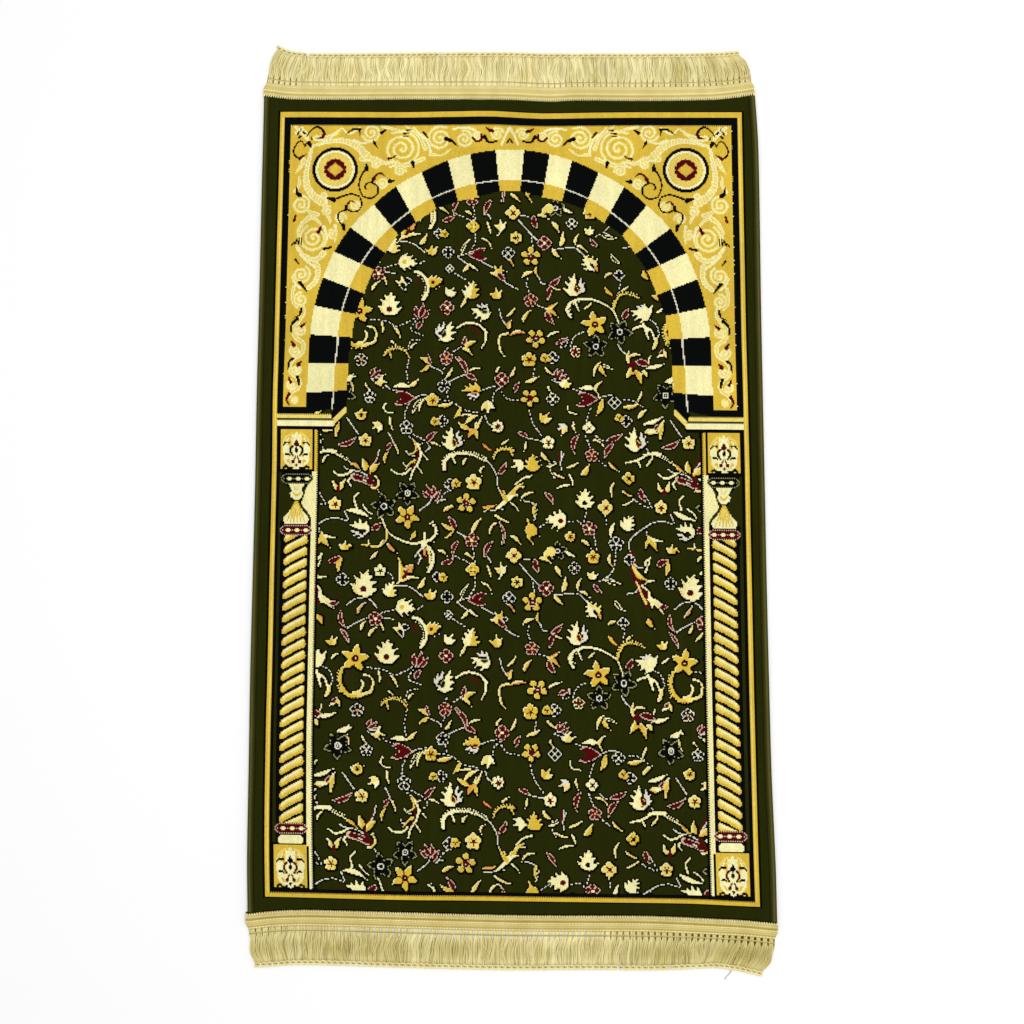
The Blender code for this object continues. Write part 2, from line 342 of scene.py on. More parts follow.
def fill(layer, points, yarn):
    """A polygon."""
    points = np.array(points, float)
    low, high = points.min(0), points.max(0)
    found = window(layer, low[0], high[0], low[1], high[1])
    if found:
        cells, xs, ys = found
        cells[inside_of(xs, ys, points)] = NUMBER[yarn]


CURVE_STEP = 0.6             # distance between a drawn curve's points
BATCH = 64                   # points of a line that are stamped together


def curve(points):
    """Close points along a smooth curve through a few, and each one's distance along it."""
    points = np.array(points, float)
    if len(points) == 2:
        count = max(2, int(np.hypot(*(points[1] - points[0])) / CURVE_STEP))
        line = points[0] + (points[1] - points[0]) * np.linspace(0, 1, count)[:, None]
    else:
        padded = np.vstack([2 * points[0] - points[1], points, 2 * points[-1] - points[-2]])
        runs = []
        for i in range(1, len(padded) - 2):
            a, b, c, d = padded[i - 1:i + 3]
            count = max(2, int(np.hypot(*(c - b)) / CURVE_STEP))
            t = np.linspace(0, 1, count, endpoint=False)[:, None]
            runs.append(0.5 * (2 * b + (c - a) * t + (2 * a - 5 * b + 4 * c - d) * t**2
                               + (3 * b - a - 3 * c + d) * t**3))
        line = np.vstack([*runs, padded[-2:-1]])
    steps = np.hypot(*np.diff(line, axis=0).T)
    return line, np.concatenate([[0], np.cumsum(steps)])


def headings(line):
    """The direction of a line at each of its points."""
    heading = np.gradient(line, axis=0)
    return heading / np.maximum(np.hypot(*heading.T), 1e-6)[:, None]


def stamp(layer, line, halves, yarn):
    """Every cell within each point's own half width."""
    reach = halves.max()
    low, high = line.min(0) - reach, line.max(0) + reach
    found = window(layer, low[0], high[0], low[1], high[1])
    if not found:
        return
    cells, xs, ys = found
    inside = np.zeros(xs.shape, bool)
    for start in range(0, len(line), BATCH):
        part, half = line[start:start + BATCH], halves[start:start + BATCH]
        away = np.hypot(xs[..., None] - part[:, 0], ys[..., None] - part[:, 1]) - half
        inside |= away.min(-1) < 0
    cells[inside] = NUMBER[yarn]


VINE = 1.5                   # width of the thinnest line that shows without a break
DASH = 2.6                   # a dotted vine is on and off for so long


def stroke(layer, points, width, yarn, end_width=None, dotted=False):
    """A line of even width, or one that tapers."""
    line, along = curve(points)
    share = along / max(along[-1], 1e-6)
    widths = mix(width, width if end_width is None else end_width, share)
    if dotted:
        on = (along % (2 * DASH)) < DASH
        line, widths = line[on], widths[on]
    stamp(layer, line, np.maximum(widths, VINE) / 2, yarn)


BARB = 1.8                   # a barb's length
BARB_PITCH = 3.4
BARBED = (0.1, 0.95)         # shares of the line between which it has barbs


def barbs(layer, points, side, yarn, width):
    """Short spikes along one side of a line of some width, side 1 on its right."""
    line, along = curve(points)
    heading = headings(line)
    at = BARBED[0] * along[-1]
    while at < BARBED[1] * along[-1]:
        i = int(np.searchsorted(along, at))
        outward = np.array([-heading[i, 1], heading[i, 0]]) * side
        root = line[i] + outward * width / 2
        tip = root + outward * BARB - heading[i] * BARB * 0.3
        stroke(layer, (root, tip), VINE, yarn)
        at += BARB_PITCH


DARK = ("R", "K")            # yarns of the dark motifs, which are outlined in a light one
LEAF_BEND = 0.09             # a straight leaf bends by this share of its length, one way or the other


def leaf(layer, x, y, length, width, turn, yarn, rim="", bend=0.0):
    """A pointed leaf about its middle. A dark one gets an outline, a light one a paler side."""
    found = near(layer, x, y, length / 2 + abs(bend) + 3)
    if not found:
        return
    if not bend:
        bend = LEAF_BEND * length * (1 if round(x + y) % 2 else -1)
    if rim and yarn in DARK:
        width += 1.2
    cells, dx, dy = found
    along, across = turned(dx, dy, turn)
    share = np.clip(along / (length / 2), -1, 1)
    centred = across - bend * (1 - share**2) + bend * 0.5
    half = (width / 2) * (1 - share**2)**0.9 * (1 - 0.35 * share)
    whole = (np.abs(along) < length / 2) & (np.abs(centred) < np.maximum(half, 0.72))
    cells[whole] = NUMBER[rim or yarn]
    if rim in ("P", "C", "G", "O") and yarn not in (*DARK, "V"):
        cells[whole & (centred > -0.1 * width)] = NUMBER[yarn]
    elif rim:
        cells[whole & (np.abs(centred) < half - 1.05) & (np.abs(share) < 0.86)] = NUMBER[yarn]
    elif yarn == "G":
        cells[whole & (centred < -0.1 * width)] = NUMBER["P"]


def blossom(layer, x, y, radius, yarn, rim, eye, petals, depth=0.34):
    """A round flower of lobed petals. A dark one's petals are parted by its outline's yarn."""
    found = near(layer, x, y, radius + 2)
    if not found:
        return
    cells, dx, dy = found
    away, angle = np.hypot(dx, dy), np.arctan2(-dy, dx) - pi / 2
    phase = np.abs(np.cos(petals / 2 * angle))
    edge = radius * (1 - depth + depth * phase**0.6)
    parting = away * np.arcsin(np.clip(phase, 0, 1)) * 2 / petals
    cells[away < edge] = NUMBER[rim or yarn]
    if rim:
        cells[away < edge - 1.3] = NUMBER[yarn]
    if yarn in DARK:
        cells[(parting < 0.75) & (away > radius * 0.36) & (away < edge)] = NUMBER[rim or yarn]
    else:
        cells[(parting < 0.8) & (away < radius * 0.5)] = NUMBER["R" if eye == "R" else "K"]
    if eye:
        cells[away < max(radius * 0.22, 1.5)] = NUMBER[eye]


# One petal of a star from the notch beside it: share of its angle from its middle, share of reach
STAR_PETAL = (
    (-0.98, 0.46),
    (-0.72, 0.62),
    (-0.44, 0.79),
    (-0.16, 0.91),
    (0.08, 1.00),
    (0.22, 0.88),
    (0.48, 0.77),
    (0.76, 0.58),
)
STAR_POINTS = 5


def star(layer, x, y, radius, yarn, rim, eye, turn):
    """A star of broad pointed petals round a ring, a light one with dark lines between them."""
    each = 360 / STAR_POINTS
    for reach, shade in ((radius, rim or "P"), (radius - 2.1, yarn)):
        fill(layer, [off(x, y, turn + (step + angle / 2) * each, reach * share)
                     for step in range(STAR_POINTS) for angle, share in STAR_PETAL], shade)
    if eye == "R":
        for step in range(STAR_POINTS):
            heading = turn + (step + 0.5) * each
            stroke(layer, (off(x, y, heading, radius * 0.16), off(x, y, heading, radius * 0.48)),
                   VINE, "R")
    disc(layer, x, y, radius * 0.24, "W" if yarn == "K" else "R")
    disc(layer, x, y, radius * 0.15, "K")
    disc(layer, x, y, 1.2, "P" if yarn == "G" else eye)


SPOT_PETALS = 5


def spots(layer, x, y, radius, eye, turn):
    """A ring of separate gold petals round a burgundy middle with white points."""
    each = 360 / SPOT_PETALS
    for step in range(SPOT_PETALS):
        disc(layer, *off(x, y, turn + each * step, radius * 0.67), radius * 0.34, "G")
    disc(layer, x, y, radius * 0.3, "R")
    for step in range(SPOT_PETALS):
        disc(layer, *off(x, y, turn + each * (step + 0.5), radius * 0.36), 0.9, "W")
    if eye:
        disc(layer, x, y, 1.0, eye)


# A leafy head's outline from its foot round to its tip, each side: along and across its height
HEAD_LEFT = (
    (0.00, -0.05), (0.02, -0.20), (0.10, -0.32), (0.20, -0.37), (0.42, -0.50), (0.36, -0.31),
    (0.46, -0.30), (0.70, -0.42), (0.60, -0.22), (0.66, -0.17), (0.86, -0.24), (0.78, -0.10),
    (1.00, 0.02),
)
HEAD_RIGHT = (
    (0.80, 0.10), (0.84, 0.26), (0.66, 0.16), (0.58, 0.20), (0.64, 0.44), (0.46, 0.29),
    (0.34, 0.30), (0.38, 0.52), (0.20, 0.37), (0.10, 0.32), (0.02, 0.20), (0.00, 0.05),
)
# The same of a small head with three lobes
SMALL_LEFT = (
    (0.00, -0.06), (0.08, -0.28), (0.26, -0.38), (0.66, -0.52), (0.56, -0.22), (0.62, -0.10),
    (1.00, 0.04),
)
SMALL_RIGHT = (
    (0.66, 0.12), (0.58, 0.24), (0.74, 0.48), (0.30, 0.42), (0.08, 0.28), (0.00, 0.06),
)
# How a head closes along its open side
OPEN_SIDE = ((0.62, 0.10), (0.40, -0.02), (0.16, 0.00), (0.0, 0.12))
# The lobes down the open side of a head: along, across, turn from the head's own, length, width
LOBES = (
    (0.58, 0.22, -12, 0.42, 0.15),
    (0.42, 0.30, -34, 0.40, 0.15),
    (0.24, 0.30, -52, 0.34, 0.15),
    (0.16, 0.14, -80, 0.26, 0.14),
)


def placed(points, x, y, size, turn, hand=1):
    """Points given along and across an axis that starts at a place. Hand -1 mirrors them."""
    c, s = cos(radians(turn)), sin(radians(turn))
    return [(x + (u * c + v * hand * s) * size, y + (-u * s + v * hand * c) * size)
            for u, v in points]


def palmette(layer, x, y, height, turn, yarn, heart, inner, hand):
    """A leafy head about its middle with a dark heart, or with one open side of white lobes."""
    foot = off(x, y, turn, -height * 0.5)
    if inner:
        fill(layer, placed(HEAD_LEFT + OPEN_SIDE, *foot, height, turn, hand), yarn)
        for along, across, side_turn, length, width in LOBES:
            (lobe_x, lobe_y), = placed(((along, across),), *foot, height, turn, hand)
            leaf(layer, lobe_x, lobe_y, height * length, height * width, turn + hand * side_turn, "W")
        (at_x, at_y), = placed(((0.34, 0.03),), *foot, height, turn, hand)
        leaf(layer, at_x, at_y, height * 0.40, height * 0.16, turn + 12, heart, inner)
        return
    head = HEAD_LEFT + HEAD_RIGHT
    fill(layer, placed(head, *foot, height, turn), "P")
    within = [(0.04 + u * 0.9, 0.04 + v * 0.84) for u, v in head]
    fill(layer, placed(within, *foot, height, turn), yarn)
    (at_x, at_y), = placed(((0.28, -0.02),), *foot, height, turn)
    disc(layer, at_x, at_y, height * 0.115, heart)


def maple(layer, x, y, radius, turn, yarn, other):
    """A leafy head with no heart, its right half in another yarn."""
    size = radius * 1.9
    left, right = (HEAD_LEFT, HEAD_RIGHT) if radius > 11 else (SMALL_LEFT, SMALL_RIGHT)
    foot = off(x, y, turn, -size * 0.5)
    fill(layer, placed(left + right, *foot, size, turn), yarn)
    fill(layer, placed(((0.0, 0.0), left[-1]) + right, *foot, size, turn), other)


# A tulip's outline along and across its length, from its tip round
TULIP = (
    (0.55, 0.0), (0.28, -0.20), (-0.05, -0.36), (-0.30, -0.36), (-0.46, -0.24), (-0.22, -0.10),
    (-0.10, 0.0), (-0.30, 0.14), (-0.52, 0.30), (-0.20, 0.38), (0.12, 0.28),
)
# A bud's petals: turn from the bud's own, share of its length, bend
BUD_PETALS = (
    (-34, 0.95, 2.5), (34, 0.95, -2.5), (0, 1.1, 0.0),
)
# A bell's tail and ears: turn from the bell's own, length in radii
BELL_POINTS = (
    (180, 1.9), (35, 1.5), (-35, 1.4),
)


def tulip(layer, x, y, length, turn):
    """A burgundy heart-shaped bud with a pale outline, which points in a direction."""
    fill(layer, placed(TULIP, x, y, length * 1.04, turn), "B")
    fill(layer, placed(TULIP, x, y, length * 0.90, turn), "R")


def bud(layer, x, y, length, turn):
    """Three curled burgundy petals that fan out from a foot."""
    for side_turn, reach, bend in BUD_PETALS:
        heading = turn + side_turn
        at_x, at_y = off(x, y, heading, length * reach / 2)
        leaf(layer, at_x, at_y, length * reach, length * 0.34, heading, "R", "B", bend)


def bell(layer, x, y, radius, turn, yarn):
    """A round bell with a pointed tail and two ears."""
    disc(layer, x, y, radius, yarn)
    for side_turn, reach in BELL_POINTS:
        tip = off(x, y, turn + side_turn, radius * reach)
        stroke(layer, ((x, y), tip), radius * 0.9, yarn, VINE)


# ---------------------------------------------------------------------------------------------
# The field's flowers, placed one by one. Turns are in degrees: 0 to the right, 90 up the chart.
# ---------------------------------------------------------------------------------------------
# x, y, radius, yarn, rim, eye, petals
BLOSSOMS = (
    (114, 346, 9, "K", "W", "O", 5), (225, 381, 9, "K", "W", "K", 5),
    (126, 397, 8.5, "K", "W", "W", 5), (175, 438, 9.5, "K", "W", "C", 5),
    (370, 398, 8.5, "K", "W", "C", 4), (452, 402, 8.5, "K", "W", "C", 4),
    (452, 591, 10, "K", "W", "W", 5), (94, 642, 8.5, "K", "W", "K", 4),
    (230, 663, 8.5, "K", "W", "K", 4), (311, 664, 9, "K", "W", "W", 4),
    (397, 623, 8, "K", "W", "C", 4), (460, 694, 7.5, "K", "W", "K", 4),
    (469, 611, 7.5, "K", "W", "K", 4),
    (223, 429, 8, "K", "W", "", 4), (213, 430, 6.5, "G", "", "", 3),
    (370, 342, 8.5, "K", "W", "C", 4), (360, 343, 7, "G", "", "", 3),
    (234, 514, 8.5, "K", "W", "", 4), (242, 513, 7, "G", "", "", 3),
    (217, 637, 7, "K", "W", "", 4), (225, 638, 6.5, "G", "", "", 3),
    (467, 427, 8, "K", "W", "", 4), (458, 423, 6.5, "G", "", "", 3),
    (228, 343, 9.5, "R", "B", "O", 5), (302, 372, 10.0, "R", "B", "C", 4),
    (421, 473, 9, "R", "B", "O", 5), (262, 588, 10.0, "R", "B", "P", 5),
    (417, 571, 10.0, "R", "B", "C", 5), (360, 650, 10.0, "R", "B", "C", 4),
    (136, 693, 10, "R", "B", "C", 5), (341, 729, 9.5, "R", "B", "O", 5),
    (229, 740, 9.5, "R", "B", "C", 4), (401, 799, 8, "R", "C", "R", 5),
    (210, 401, 10, "G", "C", "R", 5), (339, 345, 11, "G", "P", "R", 5),
    (121, 456, 9.5, "P", "C", "R", 5), (364, 457, 9.5, "C", "P", "R", 5),
    (83, 542, 9.5, "P", "C", "R", 5), (265, 511, 11.5, "P", "C", "R", 5),
    (439, 543, 10.5, "P", "C", "R", 4), (470, 504, 9, "G", "P", "K", 4),
    (422, 609, 9.5, "G", "P", "R", 5), (318, 608, 10.5, "P", "C", "R", 4),
    (264, 627, 9.5, "G", "P", "P", 4), (418, 437, 8.5, "C", "P", "K", 4),
    (142, 630, 9, "C", "P", "K", 5), (392, 582, 7.5, "G", "P", "R", 5),
    (297, 436, 9, "C", "P", "R", 8),
    (115, 421, 7, "G", "P", "", 5), (232, 686, 6, "K", "W", "C", 4),
    (322, 643, 9, "P", "G", "", 6),
)

# x, y, radius, yarn, rim, eye, turn
STARS = (
    (177, 558, 18, "G", "", "R", 60), (427, 762, 19, "G", "", "P", 100),
    (111, 745, 19, "G", "", "P", 80), (91, 858, 18, "K", "S", "C", 50),
    (177, 526, 17, "K", "S", "C", 54),
    (146, 544, 18, "K", "S", "K", 100), (460, 772, 18, "K", "S", "K", 64),
    (428, 792, 17, "K", "S", "K", 90),
)

# The small star that lies over its neighbours, in the same columns
TOP_STARS = (
    (375, 601, 14, "K", "S", "K", 90),
)
# x, y, radius, yarn: the spot on its left petal
TOP_DISCS = (
    (366, 602, 6.5, "P"),
)

# x, y, radius, eye, turn: rings of separate petals
SPOTS = (
    (340, 397, 12.5, "", -90), (255, 539, 13.5, "W", 86), (342, 669, 13.5, "W", 90),
    (348, 782, 13.5, "W", -92),
)

# x, y, height, turn, yarn, heart, the heart's outline where one side is open, hand
PALMETTES = (
    (237, 452, 33, 100, "C", "R", "G", 1), (480, 452, 33, 100, "C", "R", "G", 1),
    (412, 531, 28, 90, "C", "K", "", 1), (152, 735, 34, 88, "C", "R", "", 1),
    (401, 708, 33, 95, "C", "R", "G", 1), (122, 646, 37, 80, "C", "R", "", 1),
    (228, 772, 32, 60, "C", "K", "S", -1), (373, 560, 29, 178, "C", "R", "", 1),
    (177, 678, 27, 355, "C", "G", "", 1), (274, 745, 28, 165, "C", "K", "S", 1),
    (488, 746, 28, 165, "C", "K", "S", 1), (114, 574, 28, 155, "C", "V", "D", -1),
    (214, 704, 22, 20, "G", "R", "", 1), (262, 388, 26, 175, "G", "R", "O", -1),
)

# x, y, radius, turn, yarn, the other half's yarn
MAPLES = (
    (262, 715, 14, 80, "C", "G"), (156, 654, 12, 70, "C", "P"), (469, 563, 12, 60, "C", "C"),
    (360, 423, 9.5, 60, "G", "P"), (115, 421, 9, 90, "P", "G"), (295, 720, 9.5, 100, "G", "P"),
    (142, 375, 10, 350, "C", "P"), (387, 375, 10, 60, "C", "P"), (296, 689, 10, 120, "P", "G"),
    (168, 704, 9, 100, "P", "C"), (136, 438, 9, 200, "C", "P"), (382, 438, 9, 190, "P", "W"),
    (234, 718, 9, 65, "C", "C"), (301, 625, 9, 100, "P", "C"), (420, 676, 13, 130, "C", "P"),
    (323, 488, 10, 200, "C", "C"), (343, 484, 13, 92, "G", "G"), (96, 597, 8, 85, "P", "G"),
    (66, 742, 11, 100, "C", "C"), (208, 660, 9, 100, "G", "P"), (421, 632, 8, 80, "P", "C"),
    (284, 411, 10.5, 270, "C", "P"), (82, 722, 8, 100, "G", "P"),
)

# x, y, length, turn: burgundy hearts with a pale outline
TULIPS = (
    (172, 398, 27, 0), (415, 398, 27, 0), (270, 666, 24, 185),
)

# x, y of the foot, length, turn: burgundy buds of three petals
BUDS = (
    (210, 531, 17, 118), (128, 370, 15, 40), (376, 371, 15, 60), (191, 755, 20, 72),
)

# x, y, radius, turn, yarn
BELLS = (
    (341, 574, 8.5, 290, "G"),
)

# x, y, length, width, turn, yarn, rim, bend
LEAVES = (
    (98, 837, 17, 8.5, 32, "C", "", 3), (86.5, 799.5, 11, 5, 55, "R", "B", 0),
    (91.5, 803, 12, 6, 285, "P", "", 0), (85, 804.5, 10, 3.5, 15, "C", "", 0),
    (78, 819, 25, 6.5, 14, "C", "", 1.5), (64.5, 829, 13, 7, 300, "P", "", 0),
    (62, 814, 11, 3.5, 100, "R", "B", 0), (70, 809, 10, 2.5, 75, "C", "", 0),
    (74, 893, 28, 6.5, 22, "C", "", 2), (85, 905, 28, 7, 262, "P", "", 2),
    (78, 902, 14, 4, 235, "R", "B", 0), (71, 907, 17, 9, 8, "G", "", 1),
    (200, 347, 17, 7, 150, "G", "", 0), (200, 358, 15, 6, 215, "G", "", 0),
    (205, 345, 15, 4, 105, "R", "B", 0), (257, 334, 17, 6, 320, "P", "", -2),
    (266, 358, 17, 3, 15, "P", "", 0), (232, 364, 17, 5, 60, "P", "", 2),
    (261, 369, 19, 6, 332, "R", "B", 0), (133, 373, 12, 5, 180, "K", "W", 0),
    (168, 382, 21, 8, 180, "C", "", 1), (185, 378, 18, 6, 42, "P", "", 0),
    (188, 409, 25, 5, 242, "V", "C", 2), (195, 407, 22, 3.5, 250, "P", "", 2),
    (228, 407, 22, 7, 12, "G", "P", 0), (244, 418, 18, 6, 237, "G", "", 0),
    (154, 432, 19, 4, 280, "P", "", 1), (208, 450, 22, 6, 46, "R", "B", 0),
    (214, 460, 15, 3.5, 340, "P", "", 0), (98, 458, 27, 6, 25, "R", "B", 4),
    (85, 442, 22, 6, 252, "G", "P", 1), (73, 442, 15, 5, 175, "C", "", 2),
    (153, 463, 15, 5, 52, "R", "B", 0), (148, 479, 18, 5, 253, "G", "", 0),
    (162, 467, 17, 3.5, 292, "P", "", -1), (69, 481, 15, 4, 55, "P", "", 0),
    (250, 355, 31, 6, 298, "R", "B", -5), (244, 344, 10, 3.5, 320, "R", "B", 0),
    (104, 369, 10, 4, 0, "C", "", 0), (103, 383, 17, 2, 280, "P", "", 0),
    (123, 384, 13, 3, 305, "P", "", 0), (193, 407, 8, 3, 240, "P", "", 0),
    (109, 491, 18, 6, 322, "G", "O", 0), (120, 489, 19, 9, 102, "G", "P", 0),
    (133, 493, 19, 9, 45, "G", "P", 0),
    (82, 517, 16, 6, 115, "P", "", 0), (92, 516, 17, 7, 68, "P", "", 0),
    (87, 521, 11, 5, 90, "R", "", 0), (114, 554, 33, 8, 340, "C", "", 0),
    (124, 549, 18, 3, 315, "C", "", 0), (136, 571, 16, 7, 35, "R", "B", 0),
    (217, 529, 17, 5, 62, "R", "B", 0), (222, 536, 14, 3, 20, "S", "W", 0),
    (232, 546, 18, 6, 28, "G", "P", 0), (276, 495, 14, 3.5, 250, "P", "", 4),
    (236, 565, 22, 6, 118, "R", "B", 0), (231, 571, 20, 7, 152, "G", "P", 0),
    (232, 582, 15, 4, 215, "G", "", 0), (268, 568, 24, 6, 58, "P", "", -1),
    (240, 599, 25, 5, 250, "R", "B", 4), (231, 616, 20, 6, 25, "R", "B", 0),
    (225, 605, 16, 5, 325, "P", "", 0), (259, 609, 15, 5, 325, "P", "", 0),
    (185, 583, 14, 6, 240, "G", "", 0), (71, 590, 25, 9, 300, "G", "P", 0),
    (76, 585, 19, 4, 345, "C", "", 1), (64, 590, 16, 5, 250, "G", "", 0),
    (157, 600, 19, 7, 315, "O", "W", 0), (134, 609, 15, 5, 48, "P", "", 0),
    (84, 615, 20, 7, 30, "R", "B", 0), (90, 623, 22, 7, 258, "G", "P", 0),
    (63, 614, 14, 4, 60, "C", "", 0), (168, 627, 32, 7, 95, "G", "P", 4),
    (181, 627, 15, 12, 50, "O", "W", 0), (178, 641, 32, 6, 16, "P", "C", -3),
    (175, 634, 16, 5, 60, "R", "", 0), (201, 606, 15, 6, 290, "O", "R", 0),
    (197, 646, 19, 7, 58, "P", "", 0), (302, 335, 14, 3, 300, "P", "", 0),
    (297, 359, 12, 4, 65, "P", "", 0), (317, 362, 16, 5, 68, "P", "", 0),
    (322, 382, 16, 5, 66, "R", "B", 0), (343, 372, 20, 6, 24, "P", "", 0),
    (366, 361, 18, 5, 322, "P", "", 0), (376, 373, 16, 5, 170, "K", "W", 0),
    (366, 385, 12, 4, 295, "P", "", 0), (416, 383, 21, 8, 180, "C", "", 1),
    (430, 380, 18, 5, 55, "P", "", 0), (428, 388, 15, 4, 300, "P", "", 0),
    (433, 409, 24, 8, 250, "G", "P", 0), (474, 407, 22, 7, 12, "G", "P", 0),
    (489, 417, 19, 6, 45, "P", "", 0), (486, 393, 13, 4, 70, "P", "", 0),
    (398, 436, 16, 3.5, 280, "P", "", 1), (430, 456, 19, 4, 330, "P", "", -3),
    (399, 458, 27, 6, 258, "R", "B", 5), (452, 449, 24, 6, 22, "R", "B", 0),
    (443, 467, 26, 6, 240, "R", "B", 3), (331, 447, 18, 5, 330, "R", "B", 0),
    (333, 462, 14, 3.5, 260, "P", "", -2), (306, 457, 12, 4, 35, "P", "", 0),
    (283, 464, 19, 5, 325, "O", "R", 0), (360, 477, 20, 6, 315, "P", "", 0),
    (368, 487, 15, 3, 20, "P", "", 2), (396, 487, 19, 4, 25, "P", "", 2),
    (303, 492, 20, 6, 60, "R", "B", 0), (286, 543, 20, 5, 10, "G", "O", 0),
    (302, 559, 24, 5, 335, "P", "", 0), (290, 571, 21, 4, 235, "P", "", 4),
    (321, 587, 19, 6, 318, "P", "", 0), (319, 543, 16, 3.5, 312, "C", "", 0),
    (335, 528, 22, 4, 30, "P", "", -4), (345, 548, 20, 5, 265, "G", "P", 2),
    (365, 531, 21, 5, 305, "R", "B", -2), (378, 501, 18, 4, 340, "P", "", 2),
    (394, 506, 15, 4, 290, "C", "", 0), (385, 515, 21, 3, 12, "C", "", 0),
    (413, 494, 21, 8, 55, "G", "P", 0), (448, 519, 22, 4, 260, "P", "", 3),
    (450, 489, 20, 5, 320, "P", "O", 0), (467, 524, 17, 4, 332, "P", "O", 0),
    (469, 536, 17, 3, 30, "P", "", 0), (447, 573, 22, 6, 255, "C", "", 1),
    (413, 591, 17, 6, 320, "P", "", 0), (445, 614, 21, 5, 285, "P", "", 3),
    (448, 641, 24, 5, 350, "V", "C", 2), (487, 526, 19, 6, 290, "R", "B", 0),
    (376, 628, 18, 7, 300, "P", "", 0), (384, 645, 22, 7, 80, "P", "", 0),
    (403, 645, 18, 5, 75, "P", "", 0), (347, 621, 20, 7, 285, "R", "B", 2),
    (285, 629, 18, 4, 285, "P", "", 0), (300, 634, 13, 3, 245, "C", "", -2),
    (363, 603, 20, 8, 55, "G", "", 0), (359, 613, 18, 6, 340, "P", "", 0),
    (392, 605, 16, 6, 335, "C", "", 0), (366, 602, 15, 13, 90, "P", "", 0),
    (283, 600, 26, 6, 245, "R", "B", 3), (285, 613, 12, 2, 300, "W", "", 0),
    (481, 628, 26, 5, 315, "P", "", 2), (303, 579, 30, 3, 280, "R", "B", 0),
    (252, 656, 27, 4, 62, "V", "C", 0), (254, 686, 14, 6, 230, "P", "", 0),
    (265, 684, 17, 5, 325, "C", "", 0), (117, 679, 20, 5, 55, "O", "W", 0),
    (120, 702, 15, 5, 65, "P", "", 0), (132, 710, 18, 5, 52, "P", "", 0),
    (145, 703, 14, 4, 290, "P", "", 0), (94, 694, 24, 5, 285, "R", "B", 4),
    (98, 716, 25, 4, 300, "R", "B", -2), (176, 703, 11, 8, 0, "K", "W", 0),
    (170, 712, 12, 7, 300, "V", "W", 0), (86, 742, 13, 4, 38, "C", "", 0),
    (79, 787, 22, 6, 70, "P", "", 1), (66, 771, 26, 6, 285, "C", "", -2),
    (66, 767, 15, 5, 150, "C", "", 0), (142, 768, 17, 4, 275, "P", "", 0),
    (162, 774, 20, 5, 300, "P", "", 0), (157, 789, 10, 3.5, 320, "C", "", 0),
    (183, 793, 12, 4, 50, "P", "", 0), (192, 764, 15, 6, 52, "R", "B", 0),
    (260, 790, 19, 7, 30, "G", "P", 0), (257, 799, 16, 5, 320, "P", "", 0),
    (252, 785, 14, 5, 80, "R", "B", 0), (252, 731, 19, 5, 65, "P", "", 0),
    (283, 650, 21, 4, 310, "P", "", -4), (315, 677, 15, 4, 300, "O", "P", 0),
    (302, 697, 17, 6, 315, "R", "B", 0), (306, 691, 9, 6, 0, "K", "W", 0),
    (337, 693, 18, 6, 26, "P", "", 0), (349, 690, 15, 5, 275, "G", "P", 0),
    (376, 665, 19, 7, 312, "P", "", 0), (411, 657, 17, 5, 328, "P", "", 0),
    (374, 703, 20, 6, 38, "R", "B", 0), (366, 719, 22, 6, 255, "R", "B", 1),
    (376, 713, 13, 3.5, 340, "P", "O", 0), (370, 746, 21, 7, 322, "G", "O", 0),
    (366, 753, 21, 7, 300, "R", "B", 0), (370, 737, 19, 5, 30, "P", "O", 0),
    (335, 751, 20, 6, 58, "G", "P", 0), (315, 746, 18, 4, 48, "P", "", 2),
    (313, 763, 15, 8, 70, "P", "O", 0), (324, 774, 22, 6, 8, "O", "P", 0),
    (371, 775, 19, 4, 22, "C", "P", -1), (386, 787, 17, 6, 60, "K", "W", 0),
    (383, 785, 19, 5, 20, "R", "B", 0), (418, 737, 12, 4, 40, "P", "", 0),
    (468, 747, 17, 7, 60, "R", "B", 0), (447, 718, 22, 6, 315, "G", "R", 0),
    (468, 713, 12, 4, 35, "P", "", 0), (446, 694, 13, 5, 25, "G", "", 0),
    (455, 672, 20, 5, 315, "V", "C", 2), (427, 650, 16, 5, 315, "R", "B", 0),
    (430, 686, 10, 6, 290, "O", "", 0), (424, 682, 14, 5, 300, "K", "W", 0),
    (472, 361, 20, 7, 70, "G", "P", 0), (485, 367, 22, 9, 290, "G", "", 0),
    (491, 349, 22, 8, 340, "R", "B", 0), (472, 342, 22, 6, 95, "P", "", 0),
    (480, 338, 16, 5, 10, "P", "", 0), (477, 351, 14, 8, 0, "R", "", 0),
    (270, 433, 26, 5, 60, "P", "", 0), (252, 436, 20, 8, 150, "G", "", 0),
    (262, 445, 18, 7, 235, "O", "G", 0), (262, 426, 24, 6, 35, "P", "", 0),
    (269, 446, 17, 6, 275, "G", "", 0), (484, 400, 8, 2, 60, "P", "", 0),
    (67, 695, 16, 8, 300, "G", "O", 0), (67, 640, 16, 3, 15, "C", "", -2),
    (253, 483, 12, 5, 60, "P", "", 0), (104, 598, 8, 4, 310, "P", "", 0),
    (480, 362, 12, 4, 30, "O", "", 0), (437, 360, 17, 7, 300, "G", "P", 0),
    (428, 357, 22, 5, 245, "P", "", 0), (442, 354, 17, 4, 340, "V", "C", 0),
    (75, 668, 28, 7, 330, "C", "", 0), (68, 665, 20, 6, 285, "C", "", 0),
    (76, 673, 24, 5, 315, "C", "P", 0), (84, 673, 13, 6, 10, "R", "B", 0),
    (262, 664, 6, 3, 0, "R", "B", 0),
)

